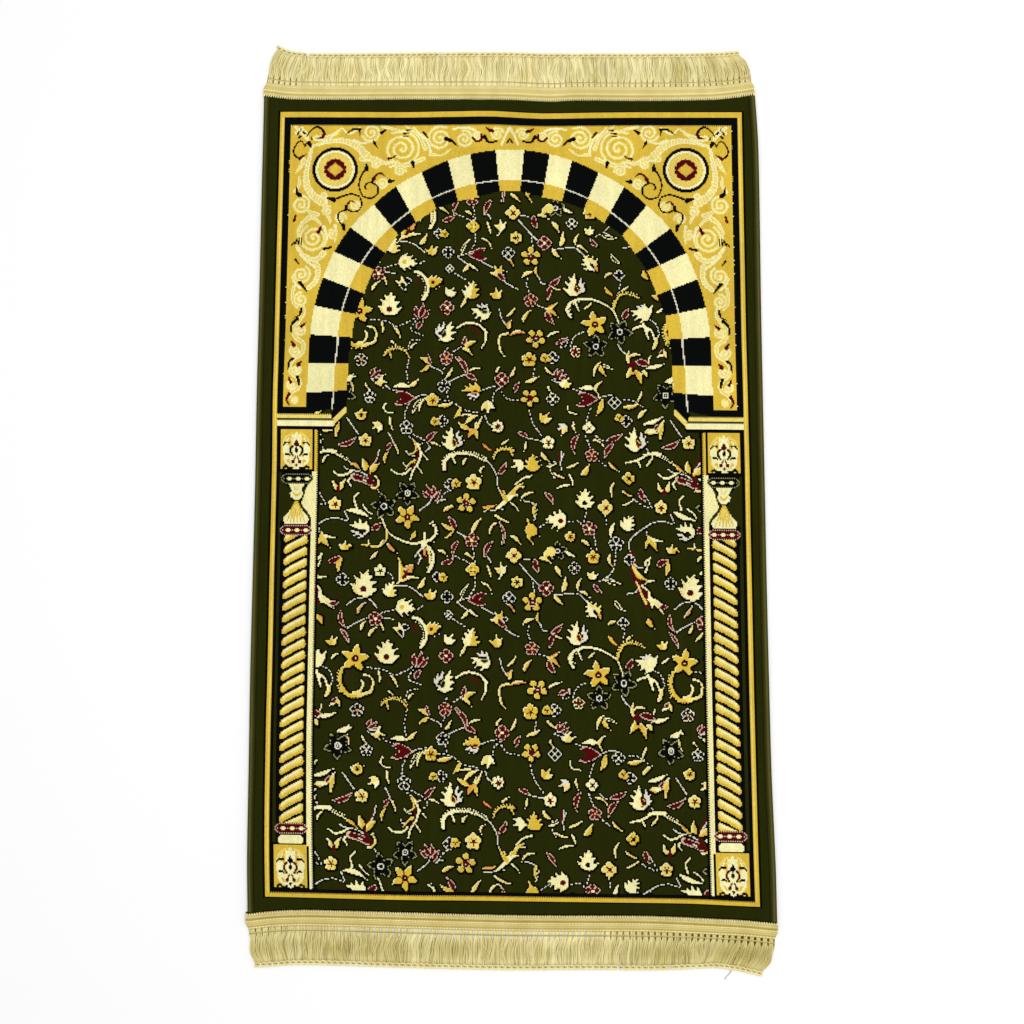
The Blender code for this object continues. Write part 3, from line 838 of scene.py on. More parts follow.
# Thin white vines: points, then whether they are dotted
VINES = (
    (((178, 345), (175, 362), (177, 377)), 1), (((207, 354), (222, 362), (222, 367)), 0),
    (((228, 352), (224, 360), (223, 366)), 1), (((252, 366), (240, 371), (230, 376)), 0),
    (((228, 390), (230, 398)), 1), (((147, 381), (153, 386), (161, 388)), 1),
    (((183, 400), (192, 395), (203, 393)), 0), (((220, 400), (236, 403), (251, 413), (270, 417)), 1),
    (((97, 426), (111, 447)), 0), (((179, 405), (173, 417), (172, 430)), 1),
    (((179, 445), (199, 455), (207, 465)), 1), (((178, 450), (192, 460)), 1),
    (((151, 445), (155, 452), (158, 460)), 0), (((275, 387), (286, 383), (295, 381)), 0),
    (((300, 383), (292, 390), (289, 403)), 1), (((301, 388), (310, 398), (330, 400)), 1),
    (((346, 357), (344, 368)), 1), (((280, 421), (283, 430), (290, 436)), 0),
    (((338, 413), (343, 430), (356, 449)), 1), (((338, 451), (357, 455)), 0),
    (((391, 382), (407, 388)), 1), (((426, 400), (436, 394), (450, 392)), 0),
    (((465, 398), (478, 400), (490, 408)), 1), (((420, 410), (414, 428)), 1),
    (((427, 447), (434, 453), (444, 453)), 1), (((413, 447), (419, 463)), 1),
    (((430, 480), (442, 489)), 1), (((384, 472), (380, 483), (381, 495)), 0),
    (((62, 526), (67, 535), (71, 543)), 1), (((95, 551), (99, 563), (85, 560), (70, 563), (62, 568)), 0),
    (((62, 568), (63, 579)), 1), (((210, 531), (206, 539), (193, 549)), 0),
    (((243, 577), (253, 583)), 0), (((240, 609), (260, 618)), 1),
    (((264, 599), (267, 618)), 1), (((267, 637), (266, 650), (258, 664)), 1),
    (((390, 562), (402, 561), (407, 566)), 1), (((362, 563), (351, 570)), 1),
    (((414, 544), (410, 564)), 1), (((438, 554), (440, 565)), 1),
    (((475, 531), (486, 538), (497, 543)), 1), (((423, 581), (427, 600)), 1),
    (((451, 601), (449, 622), (439, 635), (427, 641)), 1), (((327, 611), (340, 613)), 0),
    (((325, 618), (337, 632), (350, 646)), 0), (((299, 564), (303, 578), (302, 594)), 0),
    (((470, 602), (469, 588), (482, 574), (497, 565)), 0),
    (((99, 675), (111, 667), (127, 667), (138, 678)), 0),
    (((163, 649), (180, 650), (198, 663)), 0), (((151, 631), (158, 637), (159, 648)), 1),
    (((243, 669), (258, 664)), 0), (((243, 670), (258, 681)), 0),
    (((238, 692), (253, 701)), 1), (((165, 679), (140, 686)), 1),
    (((192, 679), (200, 674)), 1), (((125, 692), (112, 698), (101, 705)), 0),
    (((146, 691), (160, 693)), 0), (((185, 755), (172, 762), (160, 766), (148, 759), (121, 756)), 1),
    (((70, 754), (80, 762), (84, 775)), 1), (((372, 659), (398, 656), (407, 661), (417, 671)), 0),
    (((275, 676), (290, 684)), 0), (((306, 704), (314, 709), (324, 714)), 0),
    (((337, 699), (336, 709), (339, 719)), 1), (((352, 697), (355, 705), (362, 706)), 0),
    (((350, 736), (362, 740)), 1), (((462, 701), (459, 720)), 1),
    (((299, 742), (302, 755), (311, 767)), 0), (((411, 772), (399, 779), (394, 792)), 1),
    (((457, 789), (462, 797), (470, 804)), 0), (((278, 549), (290, 548), (305, 546)), 0),
    (((236, 520), (225, 527), (219, 538)), 1), (((278, 476), (288, 488), (295, 502), (297, 520)), 0),
    (((372, 482), (364, 488), (372, 505)), 1), (((190, 754), (180, 770), (196, 778)), 1),
    (((200, 470), (208, 464)), 1), (((230, 795), (226, 800)), 1), (((238, 800), (250, 792)), 1),
    (((136, 520), (142, 530), (146, 540)), 1), (((480, 468), (470, 463)), 0),
    (((344, 655), (342, 640), (338, 632)), 1), (((176, 799), (180, 786), (192, 784)), 1),
    (((489, 455), (497, 470)), 1), (((440, 634), (452, 641)), 0),
)

# Feathered scrolls: points, width at each end, yarn, side of the barbs or 0
SCROLLS = (
    (((62, 472), (77, 473), (89, 478), (101, 485)), 3.6, 1.8, "C", -1),
    (((93, 491), (99, 495), (114, 498), (123, 503)), 1.6, 1.6, "W", 0),
    (((80, 498), (88, 503), (96, 502), (104, 498)), 2.0, 4.0, "C", 0),
    (((102, 517), (99, 511), (103, 507), (111, 506)), 2.5, 3.5, "C", 0),
    (((106, 505), (120, 509), (129, 513)), 9.0, 9.0, "B", 0),
    (((108, 505), (120, 509), (127, 513)), 6.0, 6.0, "R", 0),
    (((126, 497), (127, 507), (134, 516)), 3.0, 5.0, "R", 0),
    (((135, 504), (139, 512), (136, 519), (129, 520)), 3.5, 3.0, "P", 0),
    (((118, 509), (122, 511)), 2.0, 2.0, "W", 0),
    (((226, 494), (228, 481), (240, 474), (262, 474), (284, 484)), 6.5, 2.0, "C", -1),
    (((237, 476), (240, 487)), 4.5, 2.0, "C", 0),
    (((466, 483), (482, 479), (498, 471), (512, 471)), 2.0, 5.0, "C", 0),
    (((482, 480), (485, 489)), 4.0, 2.0, "C", 0),
    (((143, 559), (150, 576), (163, 586), (182, 593), (198, 592)), 2.2, 4.0, "C", 0),
    (((196, 592), (209, 588), (215, 578), (212, 569), (207, 566)), 5.5, 2.0, "C", 1),
    (((200, 590), (200, 578)), 4.0, 2.0, "C", 0),
    (((395, 753), (390, 742), (396, 732), (409, 727)), 5.0, 4.0, "C", 1),
    (((407, 727), (425, 728), (442, 735), (452, 744), (460, 764)), 4.0, 2.0, "C", 0),
    (((402, 733), (405, 743)), 4.5, 2.0, "C", 0),
    (((242, 768), (256, 761), (272, 764), (282, 774)), 2.5, 5.0, "C", 0),
    (((280, 770), (281, 784), (275, 796)), 4.0, 1.8, "C", 0),
    (((478, 768), (490, 764), (502, 770), (508, 784)), 3.0, 4.5, "C", 0),
    (((145, 340), (151, 333), (161, 331), (171, 333), (178, 343)), 3.0, 2.0, "G", -1),
    (((152, 335), (154, 345)), 4.0, 1.6, "G", 0),
    (((291, 480), (297, 469), (307, 466), (319, 468)), 2.0, 3.5, "G", -1),
    (((313, 468), (317, 477)), 3.5, 1.6, "G", 0),
    (((151, 577), (149, 590), (138, 598), (118, 595)), 3.0, 2.0, "G", 0),
    (((141, 597), (145, 589)), 4.0, 2.0, "P", 0),
    (((127, 597), (126, 590)), 3.0, 1.6, "P", 0),
    (((311, 775), (301, 778), (298, 789), (304, 803)), 3.5, 2.0, "P", 0),
    (((113, 526), (107, 534), (110, 546)), 1.8, 3.0, "C", 0),
    (((147, 406), (144, 413), (151, 418), (158, 418)), 2.5, 1.8, "C", 0),
    (((390, 407), (391, 415), (403, 418)), 2.0, 1.8, "C", 0),
    (((452, 741), (459, 725), (470, 720), (487, 725)), 4.0, 2.0, "G", -1),
    (((96, 757), (93, 775), (103, 792), (118, 793)), 4.5, 7.0, "G", 1),
    (((116, 793), (131, 788), (134, 776), (130, 768), (122, 766)), 6.0, 2.5, "P", 0),
    (((110, 790), (118, 787), (121, 778), (119, 773)), 5.0, 2.0, "P", 0),
    (((95, 786), (92, 790)), 5.0, 2.0, "G", 0),
    (((337, 583), (343, 593)), 5.0, 1.6, "G", 0),
    (((260, 768), (270, 771), (273, 780)), 2.5, 1.8, "R", 0),
    (((296, 546), (306, 537), (316, 526)), 4.0, 9.0, "C", 0),
    (((316, 527), (322, 517), (330, 512)), 8.0, 2.0, "G", 0),
    (((308, 534), (304, 522)), 5.0, 2.0, "G", 0),
    (((313, 530), (324, 527)), 5.0, 2.0, "C", 0),
    (((305, 533), (298, 520)), 4.0, 2.0, "G", 0),
    (((320, 518), (333, 516)), 4.0, 2.0, "P", 0),
    (((320, 513), (330, 505), (341, 502)), 2.0, 3.0, "C", 0),
    (((331, 535), (341, 537), (348, 545), (345, 560)), 1.6, 1.8, "W", 0),
    (((138, 468), (134, 480), (127, 491)), 1.8, 3.0, "R", 0),
    (((139, 468), (136, 481), (128, 492)), 1.6, 1.6, "W", 0),
    (((379, 470), (378, 484)), 3.0, 2.0, "R", 0),
    (((381, 469), (380, 485)), 1.6, 1.6, "W", 0),
    (((188, 458), (193, 467), (194, 475), (191, 486), (184, 497), (181, 508)), 4.0, 2.4, "C", 0),
    (((195, 471), (203, 481)), 4.0, 1.8, "C", 0),
    (((190, 490), (196, 499)), 3.6, 1.8, "C", 0),
    (((191, 463), (197, 459)), 2.4, 1.6, "C", 0),
    (((186, 457), (188, 466), (186, 472), (180, 474)), 3.6, 2.4, "G", 0),
    (((190, 466), (190, 477), (186, 487), (180, 495)), 2.2, 1.8, "R", 0),
    (((175, 470), (180, 476), (187, 476)), 1.6, 1.6, "W", 0),
    (((186, 483), (179, 488), (175, 494)), 4.6, 2.0, "G", 0),
    (((171, 485), (173, 489), (178, 490)), 1.6, 1.6, "W", 0),
    (((155, 495), (163, 500), (174, 500), (181, 494)), 1.8, 4.0, "C", 0),
    (((197, 594), (206, 598), (212, 607), (212, 618), (206, 630)), 4.0, 5.0, "C", 1),
    (((204, 600), (207, 610), (207, 620)), 4.0, 2.0, "P", 0),
    (((198, 598), (190, 607), (187, 612)), 4.0, 1.8, "W", 0),
    (((192, 605), (195, 612), (192, 620)), 4.0, 1.8, "W", 0),
    (((186, 691), (195, 694), (203, 706), (203, 718), (197, 729)), 5.0, 5.5, "C", 1),
    (((189, 694), (196, 699), (200, 709), (200, 718)), 1.6, 1.6, "K", 0),
    (((189, 700), (187, 706), (191, 706)), 2.0, 2.0, "R", 0),
    (((240, 424), (252, 420), (262, 420)), 1.6, 3.0, "P", 0),
    (((268, 430), (266, 436), (272, 436)), 1.6, 1.6, "P", 0),
)

# The feathered burgundy plume: points, width at each end, yarn
PLUME = (
    (((472, 604), (476, 628), (484, 650), (494, 668)), 8.0, 12.0, "R"),
    (((473, 622), (481, 634), (492, 638)), 2.0, 4.0, "G"),
    (((478, 640), (484, 655), (490, 668)), 2.0, 3.5, "P"),
    (((486, 645), (495, 655), (498, 672)), 3.0, 4.0, "C"),
    (((490, 628), (495, 616), (496, 608)), 3.0, 1.6, "C"),
    (((474, 616), (482, 622), (491, 620)), 1.6, 1.6, "W"),
    (((466, 656), (476, 654), (482, 646)), 1.6, 1.6, "W"),
)

# What draws each table's motifs. Its columns after x and y are the function's further values.
FIELD = (
    (palmette, PALMETTES),
    (maple, MAPLES),
    (star, STARS),
    (tulip, TULIPS),
    (bud, BUDS),
    (bell, BELLS),
    (leaf, LEAVES),
    (blossom, BLOSSOMS),
    (spots, SPOTS),
    (star, TOP_STARS),
    (disc, TOP_DISCS),
)


def draw_field(layer, x, y):
    """Every flower of one tile, moved by so much."""
    for points, dotted in VINES:
        stroke(layer, shifted(points, x, y), VINE, "W", dotted=bool(dotted))
    for points, width, end_width, yarn in PLUME:
        stroke(layer, shifted(points, x, y), width, yarn, end_width)
    for points, width, end_width, yarn, side in SCROLLS:
        moved = shifted(points, x, y)
        stroke(layer, moved, width, yarn, end_width)
        if side:
            barbs(layer, moved, side, yarn, (width + end_width) / 2)
    for draw, rows in FIELD:
        for motif_x, motif_y, *values in rows:
            draw(layer, motif_x + x, motif_y + y, *values)


def dark_outline_and_painted_light(layer):
    """A dark line round the light motifs, partly a woven outline and partly painted shade, with painted
    shade cut into the right and lower sides of the broad ones and a painted highlight, one yarn paler,
    along their left and upper edges.
    """
    def beside(cells, down, over):
        return np.roll(cells, (down, over), (0, 1))

    light = np.isin(layer, [NUMBER[yarn] for yarn in "GPCWOBS"])
    ground = layer == NUMBER["V"]
    # Painted shade: a broad light motif's cells that meet the ground on their right or below turn dark.
    cut = light & beside(light, 0, 1) & beside(light, 0, 2) & beside(ground, 0, -1)
    cut |= light & beside(light, 1, 0) & beside(light, 2, 0) & beside(ground, -1, 0)
    # Painted highlight: light cells with ground to their left or above go one yarn paler.
    rim = (beside(ground, 0, 1) | beside(ground, 1, 0)) & ~cut
    for yarn, paler in (("P", "C"), ("G", "P")):
        layer[rim & (layer == NUMBER[yarn])] = NUMBER[paler]
    layer[cut] = NUMBER["D"]
    # A dark ring in the ground round every light motif: partly a woven outline, partly painted shade.
    near_light = np.zeros_like(light)
    for down in (-1, 0, 1):
        for over in (-1, 0, 1):
            near_light |= beside(light, down, over)
    layer[near_light & ground] = NUMBER["D"]


# ---------------------------------------------------------------------------------------------
# The frame, the arch and its corners, and the columns: the left half, which is then mirrored
# ---------------------------------------------------------------------------------------------
FRAME_LEFT = -2.5            # the gold frame's outer edge at the sides
FRAME_TOP, FRAME_FOOT = 0.0, 1050.5
FIELD_LEFT = 61.0            # where the field's ground starts
FIELD_FOOT = 1039.5
HALF_END = MIRROR + 1        # the half is drawn to just past the mirror
BLACK_LEFT = FRAME_LEFT + 6.4         # where the black band inside the frame starts
CORNER_TOP, CORNER_FOOT = 17.5, 411   # the corner panel ends here
PANEL_TOP = 441              # the column starts here with its upper panel
TOOTH = 2 * CELL[0]          # a band's edge steps in and out by this pitch

# Spirals of the corner panel: x, y, radius, first turn, how it winds
SPIRALS = (
    (124, 29, 13, 200, 1), (166, 52, 26, 120, -1), (218, 37, 17, 60, 1), (251, 38, 12, 100, -1),
    (268, 33, 7, 200, 1), (296, 31, 9, 20, 1), (28.5, 131, 13, 90, -1), (47, 178, 19, 120, 1),
    (31.5, 229, 12.5, 60, -1), (32, 264, 10, 90, 1), (32, 307, 7.5, 80, -1), (26.5, 335, 8, 90, 1),
    (28, 361, 7, 60, -1), (23, 382, 6.5, 90, 1), (27, 402, 4.5, 60, -1), (83, 150, 8, 0, 1),
    (140, 100, 8, 180, 1), (103, 133, 8, 270, 1), (72, 173, 7, 120, -1), (130, 73, 6, 0, -1),
    (164, 83, 8, 30, 1), (65, 140, 7, 60, 1),
)

# Cream bands between the spirals: points, width at each end
CREAM_BANDS = (
    (((48, 37), (60, 36.5), (72, 32), (83, 22)), 9, 1.5), (((20, 22), (27, 30), (38, 42)), 5, 3),
    (((20, 30), (27, 24), (34, 34)), 3, 8), (((100, 40), (112, 44), (122, 42)), 4, 3),
    (((84, 23), (93, 31), (108, 22)), 2, 3), (((140, 20), (155, 24), (166, 27)), 5, 3),
    (((172, 20), (190, 34), (198, 52)), 3, 6), (((182, 22), (200, 40), (206, 58)), 2, 4),
    (((150, 66), (170, 76), (196, 66)), 3, 6), (((205, 60), (222, 60), (232, 52)), 5, 2),
    (((236, 24), (252, 22), (266, 26)), 3, 4), (((302, 46), (308, 32), (313, 22)), 3, 4),
    (((31, 68), (28, 76), (20, 88)), 7, 2), (((26, 92), (26, 102), (21, 112)), 3, 5),
    (((34, 136), (42, 142), (51, 145)), 4, 7), (((25, 176), (27, 165), (33, 156), (41, 149)), 3, 7),
    (((46, 150), (53, 154), (58, 162)), 5, 3), (((61, 162), (65, 176), (61, 190)), 4, 3),
    (((24, 190), (33, 201), (46, 208), (55, 206), (61, 199)), 4, 8),
    (((30, 202), (42, 213), (52, 219)), 3, 4),
    (((53, 216), (54, 230), (50, 240), (42, 248)), 8, 6),
    (((20, 232), (24, 242), (31, 248)), 4, 3), (((22, 247), (20, 257), (22, 268), (27, 275)), 5, 4),
    (((112, 66), (128, 66), (142, 72), (160, 70)), 9, 3), (((60, 118), (62, 134), (70, 156)), 9, 3),
    (((150, 78), (164, 74), (172, 84)), 3, 4), (((76, 160), (78, 172), (76, 184)), 4, 2),
)

# The vine that winds down between the volutes
CORNER_VINE = (
    (34, 274), (36, 282), (31, 292), (25, 300), (22.5, 308), (27.5, 317), (35.5, 323), (37.5, 331),
    (34, 339), (26, 344), (21, 351), (20, 359), (24, 366), (30, 371), (34, 379), (31, 386),
    (24, 391), (20, 397),
)

# The feathered bands round the roundel
PLUMES = (
    ((44, 48), (58, 43.5), (72, 41), (86, 41), (99, 45.5), (110, 53), (119, 63)),
    ((42, 49), (39, 64), (36, 80), (35, 95), (38, 108), (46, 119), (57, 127)),
)

# Small dark accents: points, width at each end, yarn
ACCENTS = (
    (((89, 31), (94, 27), (101, 24), (109, 24)), 1.6, 4.5, "K"), (((108, 24), (108, 33)), 3, 1.5, "K"),
    (((138, 29), (146, 24)), 5, 1.5, "K"), (((128, 42), (130, 46), (133, 51)), 4, 1.5, "K"),
    (((181, 71), (183, 78)), 5.5, 3, "K"), (((62, 193), (71, 191)), 4, 3, "K"),
    (((30, 240), (36, 247), (40, 253)), 5, 1.5, "K"), (((22, 106), (23, 114), (27, 118)), 2, 6, "K"),
    (((173, 26), (179, 24)), 3, 1.5, "K"), (((169, 30), (176, 29)), 3, 2, "K"),
    (((169, 34), (174, 34)), 2.5, 2, "K"), (((18, 188), (21, 184)), 2, 2, "K"),
    (((22, 186), (25, 180)), 3, 2, "K"), (((27, 186), (28, 178)), 2.5, 2, "K"),
    (((31, 186), (31, 178)), 2, 2, "K"), (((196, 29), (202, 36)), 3.5, 1.5, "K"),
    (((227, 38), (235, 41), (242, 48)), 6.5, 1.5, "K"), (((148, 66), (153, 65), (158, 61)), 3.5, 1.5, "R"),
    (((20, 154), (22, 147)), 4, 3, "R"), (((54, 169), (58, 160)), 6, 1.5, "R"),
    (((281, 22), (286, 26), (290, 27)), 2, 5, "R"),
    (((263, 36), (269, 41), (275, 38), (275, 32)), 3.5, 3.5, "R"),
    (((279, 34), (285, 42), (296, 41)), 5, 2.5, "K"),
    (((310, 43), (313.5, 38), (317, 43)), 3, 3, "K"),
    (((33, 277), (31, 285), (24, 289)), 4, 1.5, "K"), (((28, 291), (21, 298), (20, 309)), 4.5, 2, "K"),
    (((34, 301), (39, 296)), 5, 1.5, "R"), (((21, 321), (24, 327)), 2, 5.5, "R"),
    (((24, 345), (19, 350), (17.5, 360)), 4, 2, "K"), (((31, 354), (35, 349)), 6, 1.5, "R"),
    (((19, 371), (22, 378)), 2, 4.5, "R"), (((31, 370), (33, 380)), 4.5, 3, "K"),
    (((20, 394), (17, 401), (20, 408)), 4.5, 2.5, "R"), (((23, 208), (28, 214)), 3, 1.5, "K"),
    (((35, 34), (40, 26), (48, 21), (56, 25), (58.5, 32)), 1.6, 4, "K"),
    (((58.5, 31), (56, 36), (51, 37)), 5, 2.5, "R"),
    (((33, 48), (27, 41), (20, 47), (17, 55), (20, 63), (26, 66)), 1.6, 3, "K"),
    (((25, 66), (34, 60)), 4.5, 1.5, "R"), (((38, 44), (40, 48)), 6, 4, "K"),
    (((24, 28), (22, 31)), 3, 3, "K"), (((30, 29), (33, 31)), 4, 3, "K"),
    (((26, 24), (27, 27)), 2, 2, "K"), (((24, 36), (27, 34)), 3, 2, "K"),
    (((41, 36), (42, 39)), 2, 2, "K"), (((33, 46), (32, 49)), 3, 2, "K"),
    (((118, 74), (118, 81)), 2, 7, "K"), (((115, 83), (109, 95), (108.5, 108), (113, 118)), 3, 2, "K"),
    (((113, 119), (124, 122), (133, 116), (134, 107), (128, 101), (121, 100), (116, 105), (118, 109)),
     2.4, 2.4, "K"),
    (((128, 95), (126, 99)), 5, 4, "K"), (((128, 94), (133, 88), (139, 87), (143, 90)), 3.5, 2, "R"),
    (((150, 98), (157, 97)), 6, 2, "K"),
    (((78, 122), (89, 118), (98, 116), (108, 119)), 3.5, 2, "K"), (((65, 122), (74, 124)), 2, 7, "K"),
    (((110, 121), (112, 130), (108, 139), (100, 141), (93, 138)), 2.4, 2.6, "K"),
    (((93, 130), (96, 126), (102, 127)), 3.5, 1.5, "R"), (((91, 133), (91, 138)), 5, 4, "K"),
    (((90, 138), (81, 143), (80, 151), (86, 160)), 2.2, 2.2, "K"), (((87, 160), (88, 167)), 5, 3, "K"),
)

# The blocks of the arch, from the keystone down: where each joint meets the outer edge and
# the inner edge
JOINTS = (
    ((294, 53.5), (299.7, 111.5)),
    ((259.3, 59.3), (270, 120)),
    ((229.3, 68), (242.9, 125.7)),
    ((193, 85), (213.6, 137)),
    ((158.6, 105), (186.4, 155.7)),
    ((128.6, 131), (162, 173)),
    ((97, 163), (145, 198.6)),
    ((75.7, 197), (129.3, 222)),
    ((61.4, 233), (117, 255)),
    ((50.7, 272), (105.7, 283.6)),
    ((45.7, 312), (101.4, 315.7)),
    ((45, 351.4), (97, 351.4)),
    ((43.5, 392), (96.4, 388)),
    ((43.5, 420), (96.4, 410)),
)
KEYSTONE = ((294, 53.5), (HALF_END, 52.5), (HALF_END, 111), (299.7, 111))
ARCH_MIDDLES = ((MIRROR, 323.0), (MIRROR, 327.0))   # of the outer and the inner edge
ARCH_OUTER = 275.0           # radius inside which all the blocks lie
ARCH_LINE = 231.0            # radius of the line across the blocks
# below the arch's centre the line leans inwards: y, x
ARCH_LINE_FOOT = ((327, 82.5), (345, 81), (380, 79.5), (400, 78.5), (421, 77.5))
BLOCK_STEPS = 8              # points along a block's curved edge
LINE_STEPS = 39              # and along the line
SPIRAL_STEPS = 25

# The roundel: its middle, then its rings from the outside in: radius, yarn
ROUNDEL = (74.7, 81.4)
ROUNDEL_RINGS = ((34.0, "G"), (31.6, "D"), (27.0, "C"), (23.6, "G"))
ROUNDEL_SPECKLE = (15, 23)   # between these radii it is flecked
ROUNDEL_LOZENGE = ((0, -10.5), (10.5, 0), (0, 10.5), (-10.5, 0))


def teeth(layer, x_low, x_high, y, depth, yarn):
    """Short teeth down from a level edge."""
    at = x_low
    while at < x_high:
        box(layer, at, min(at + TOOTH / 2, x_high), y, y + depth, yarn)
        at += TOOTH


def side_teeth(layer, x, y_low, y_high, depth, yarn):
    """Short teeth across from an upright edge."""
    at = y_low
    while at < y_high:
        box(layer, min(x, x + depth), max(x, x + depth), at, at + CELL[1], yarn)
        at += 2 * CELL[1]


def spiral(layer, x, y, radius, start, way):
    """A double line that winds inwards."""
    points = []
    for step in range(SPIRAL_STEPS + 1):
        share = step / SPIRAL_STEPS
        angle = radians(start) + way * share * 2 * pi * (1.2 + radius / 16)
        away = radius * (1 - share)**0.85
        points.append((x + cos(angle) * away, y - sin(angle) * away))
    stroke(layer, points, 4.6, "P")
    stroke(layer, points, 1.9, "C")


RIB_PITCH = 4.4


def ribbon(layer, points, width, end_width):
    """A pale band with cream edges, ribbed where it is broad."""
    stroke(layer, points, width, "C", end_width)
    if max(width, end_width) > 4:
        stroke(layer, points, width - 3.2, "P", end_width - 3.2)
    if max(width, end_width) >= 8:
        line, along = curve(points)
        heading = headings(line)
        for at in np.arange(2.0, along[-1] - 1.5, RIB_PITCH):
            i = int(np.searchsorted(along, at))
            out = np.array([-heading[i, 1], heading[i, 0]]) * mix(width, end_width, at / along[-1]) / 2
            slant = heading[i] * 1.5
            stroke(layer, (line[i] - out - slant, line[i] + out + slant), VINE, "C")


def tuft_steps(dx, dy, start):
    """Whole tufts across and down, counted from a start that far to the upper left."""
    return np.floor((dx + start) / CELL[0]), np.floor((dy + start) / CELL[1])


def draw_corner(layer):
    """The gold panel between the frame and the arch, with its scrolls and its roundel."""
    box(layer, FRAME_LEFT + 15, HALF_END, CORNER_TOP, CORNER_FOOT, "G")
    for points, width, end_width in CREAM_BANDS:
        ribbon(layer, points, width, end_width)
    for x, y, radius, start, way in SPIRALS:
        spiral(layer, x, y, radius, start, way)
    ribbon(layer, CORNER_VINE, 6, 6)
    for points in PLUMES:
        ribbon(layer, points, 3.5, 12)
    for radius, yarn in ROUNDEL_RINGS:
        disc(layer, *ROUNDEL, radius, yarn)
    cells, dx, dy = near(layer, *ROUNDEL, 25)
    away = np.hypot(dx, dy)
    across, down = tuft_steps(dx, dy, 200)
    flecked = (away > ROUNDEL_SPECKLE[0]) & (away < ROUNDEL_SPECKLE[1]) & ((across + down) % 3 < 2)
    cells[flecked] = NUMBER["P"]
    blossom(layer, *ROUNDEL, 15.6, "R", "", "", 14, 0.12)
    disc(layer, *ROUNDEL, 12.0, "R")
    fill(layer, shifted(ROUNDEL_LOZENGE, *ROUNDEL), "O")
    disc(layer, *ROUNDEL, 7.2, "G")
    for points, width, end_width, yarn in ACCENTS:
        stroke(layer, points, width, yarn, end_width)


def block_edge(joint, following, side):
    """Points along the arch's edge from one joint to the next, side 0 outside and 1 inside."""
    middle, first, last = ARCH_MIDDLES[side], joint[side], following[side]
    if min(first[1], last[1]) > middle[1]:
        return [first, last]
    r0, r1 = (hypot(x - middle[0], y - middle[1]) for x, y in (first, last))
    a0, a1 = (np.arctan2(y - middle[1], x - middle[0]) for x, y in (first, last))
    if a1 > 0:
        a1 -= 2 * pi
    found = []
    for step in range(BLOCK_STEPS + 1):
        share = step / BLOCK_STEPS
        away, angle = mix(r0, r1, share), mix(a0, a1, share)
        found.append((middle[0] + cos(angle) * away, middle[1] + sin(angle) * away))
    return found


def arch_line():
    """The line across the blocks."""
    x, y = ARCH_MIDDLES[1]
    line = []
    for step in range(LINE_STEPS + 1):
        angle = pi * mix(0.5, 1.0, step / LINE_STEPS)
        line.append((x + cos(angle) * ARCH_LINE, y - sin(angle) * ARCH_LINE))
    return line + [(x, y) for y, x in ARCH_LINE_FOOT[1:]]


def draw_arch(layer):
    """The arch's black and cream blocks, each cream one gold within the line."""
    fill(layer, KEYSTONE, "C")
    blocks = [block_edge(joint, following, 0) + block_edge(joint, following, 1)[::-1]
              for joint, following in zip(JOINTS, JOINTS[1:])]
    for number, shape in enumerate(blocks):
        fill(layer, shape, "C" if number % 2 else "K")
    middle_x, middle_y = ARCH_MIDDLES[1]
    xs, ys = np.meshgrid(CELL_X, CELL_Y)
    away = np.hypot(xs - middle_x, ys - middle_y)
    foot_y, foot_x = np.array(ARCH_LINE_FOOT).T
    within = np.where(ys < middle_y, away < ARCH_LINE, xs > np.interp(ys, foot_y, foot_x))
    within &= np.where(ys < middle_y, away < ARCH_OUTER, xs > 43)
    within &= (xs <= HALF_END) & (ys < CORNER_FOOT) & (xs > 60)
    layer[(layer == NUMBER["C"]) & within] = NUMBER["G"]
    black, line = np.full_like(layer, NOTHING), np.full_like(layer, NOTHING)
    for shape in blocks[::2]:
        fill(black, shape, "K")
    stroke(line, arch_line(), 1.9, "W")
    layer[(black == NUMBER["K"]) & (line == NUMBER["W"])] = NUMBER["W"]


def draw_impost(layer):
    """The mouldings under the arch's foot."""
    left = BLACK_LEFT
    box(layer, left, 43.5, CORNER_FOOT, 421, "K")
    box(layer, left, 79, 420, PANEL_TOP, "K")
    fill(layer, ((76, 419), (97, 399), (99, 412), (80, 441), (76, 441)), "K")
    box(layer, left, 77, 421.2, 425.8, "P")
    teeth(layer, left, 77, 420.0, 1.5, "P")
    teeth(layer, left, 80, 428.4, 1.5, "S")
    box(layer, left, 80.5, 430.0, 436.6, "C")
    fill(layer, ((79, 427), (94, 411), (98.5, 410), (98.5, 415), (83, 431), (80, 436)), "P")
    box(layer, left, 80, 436.6, 441.5, "K")
    teeth(layer, left + 4, 51, 441.0, 2.2, "K")


PANEL_SIZE = (42.5, 54)
PANEL_ACROSS = 43            # the panel's art is the same left and right over this width
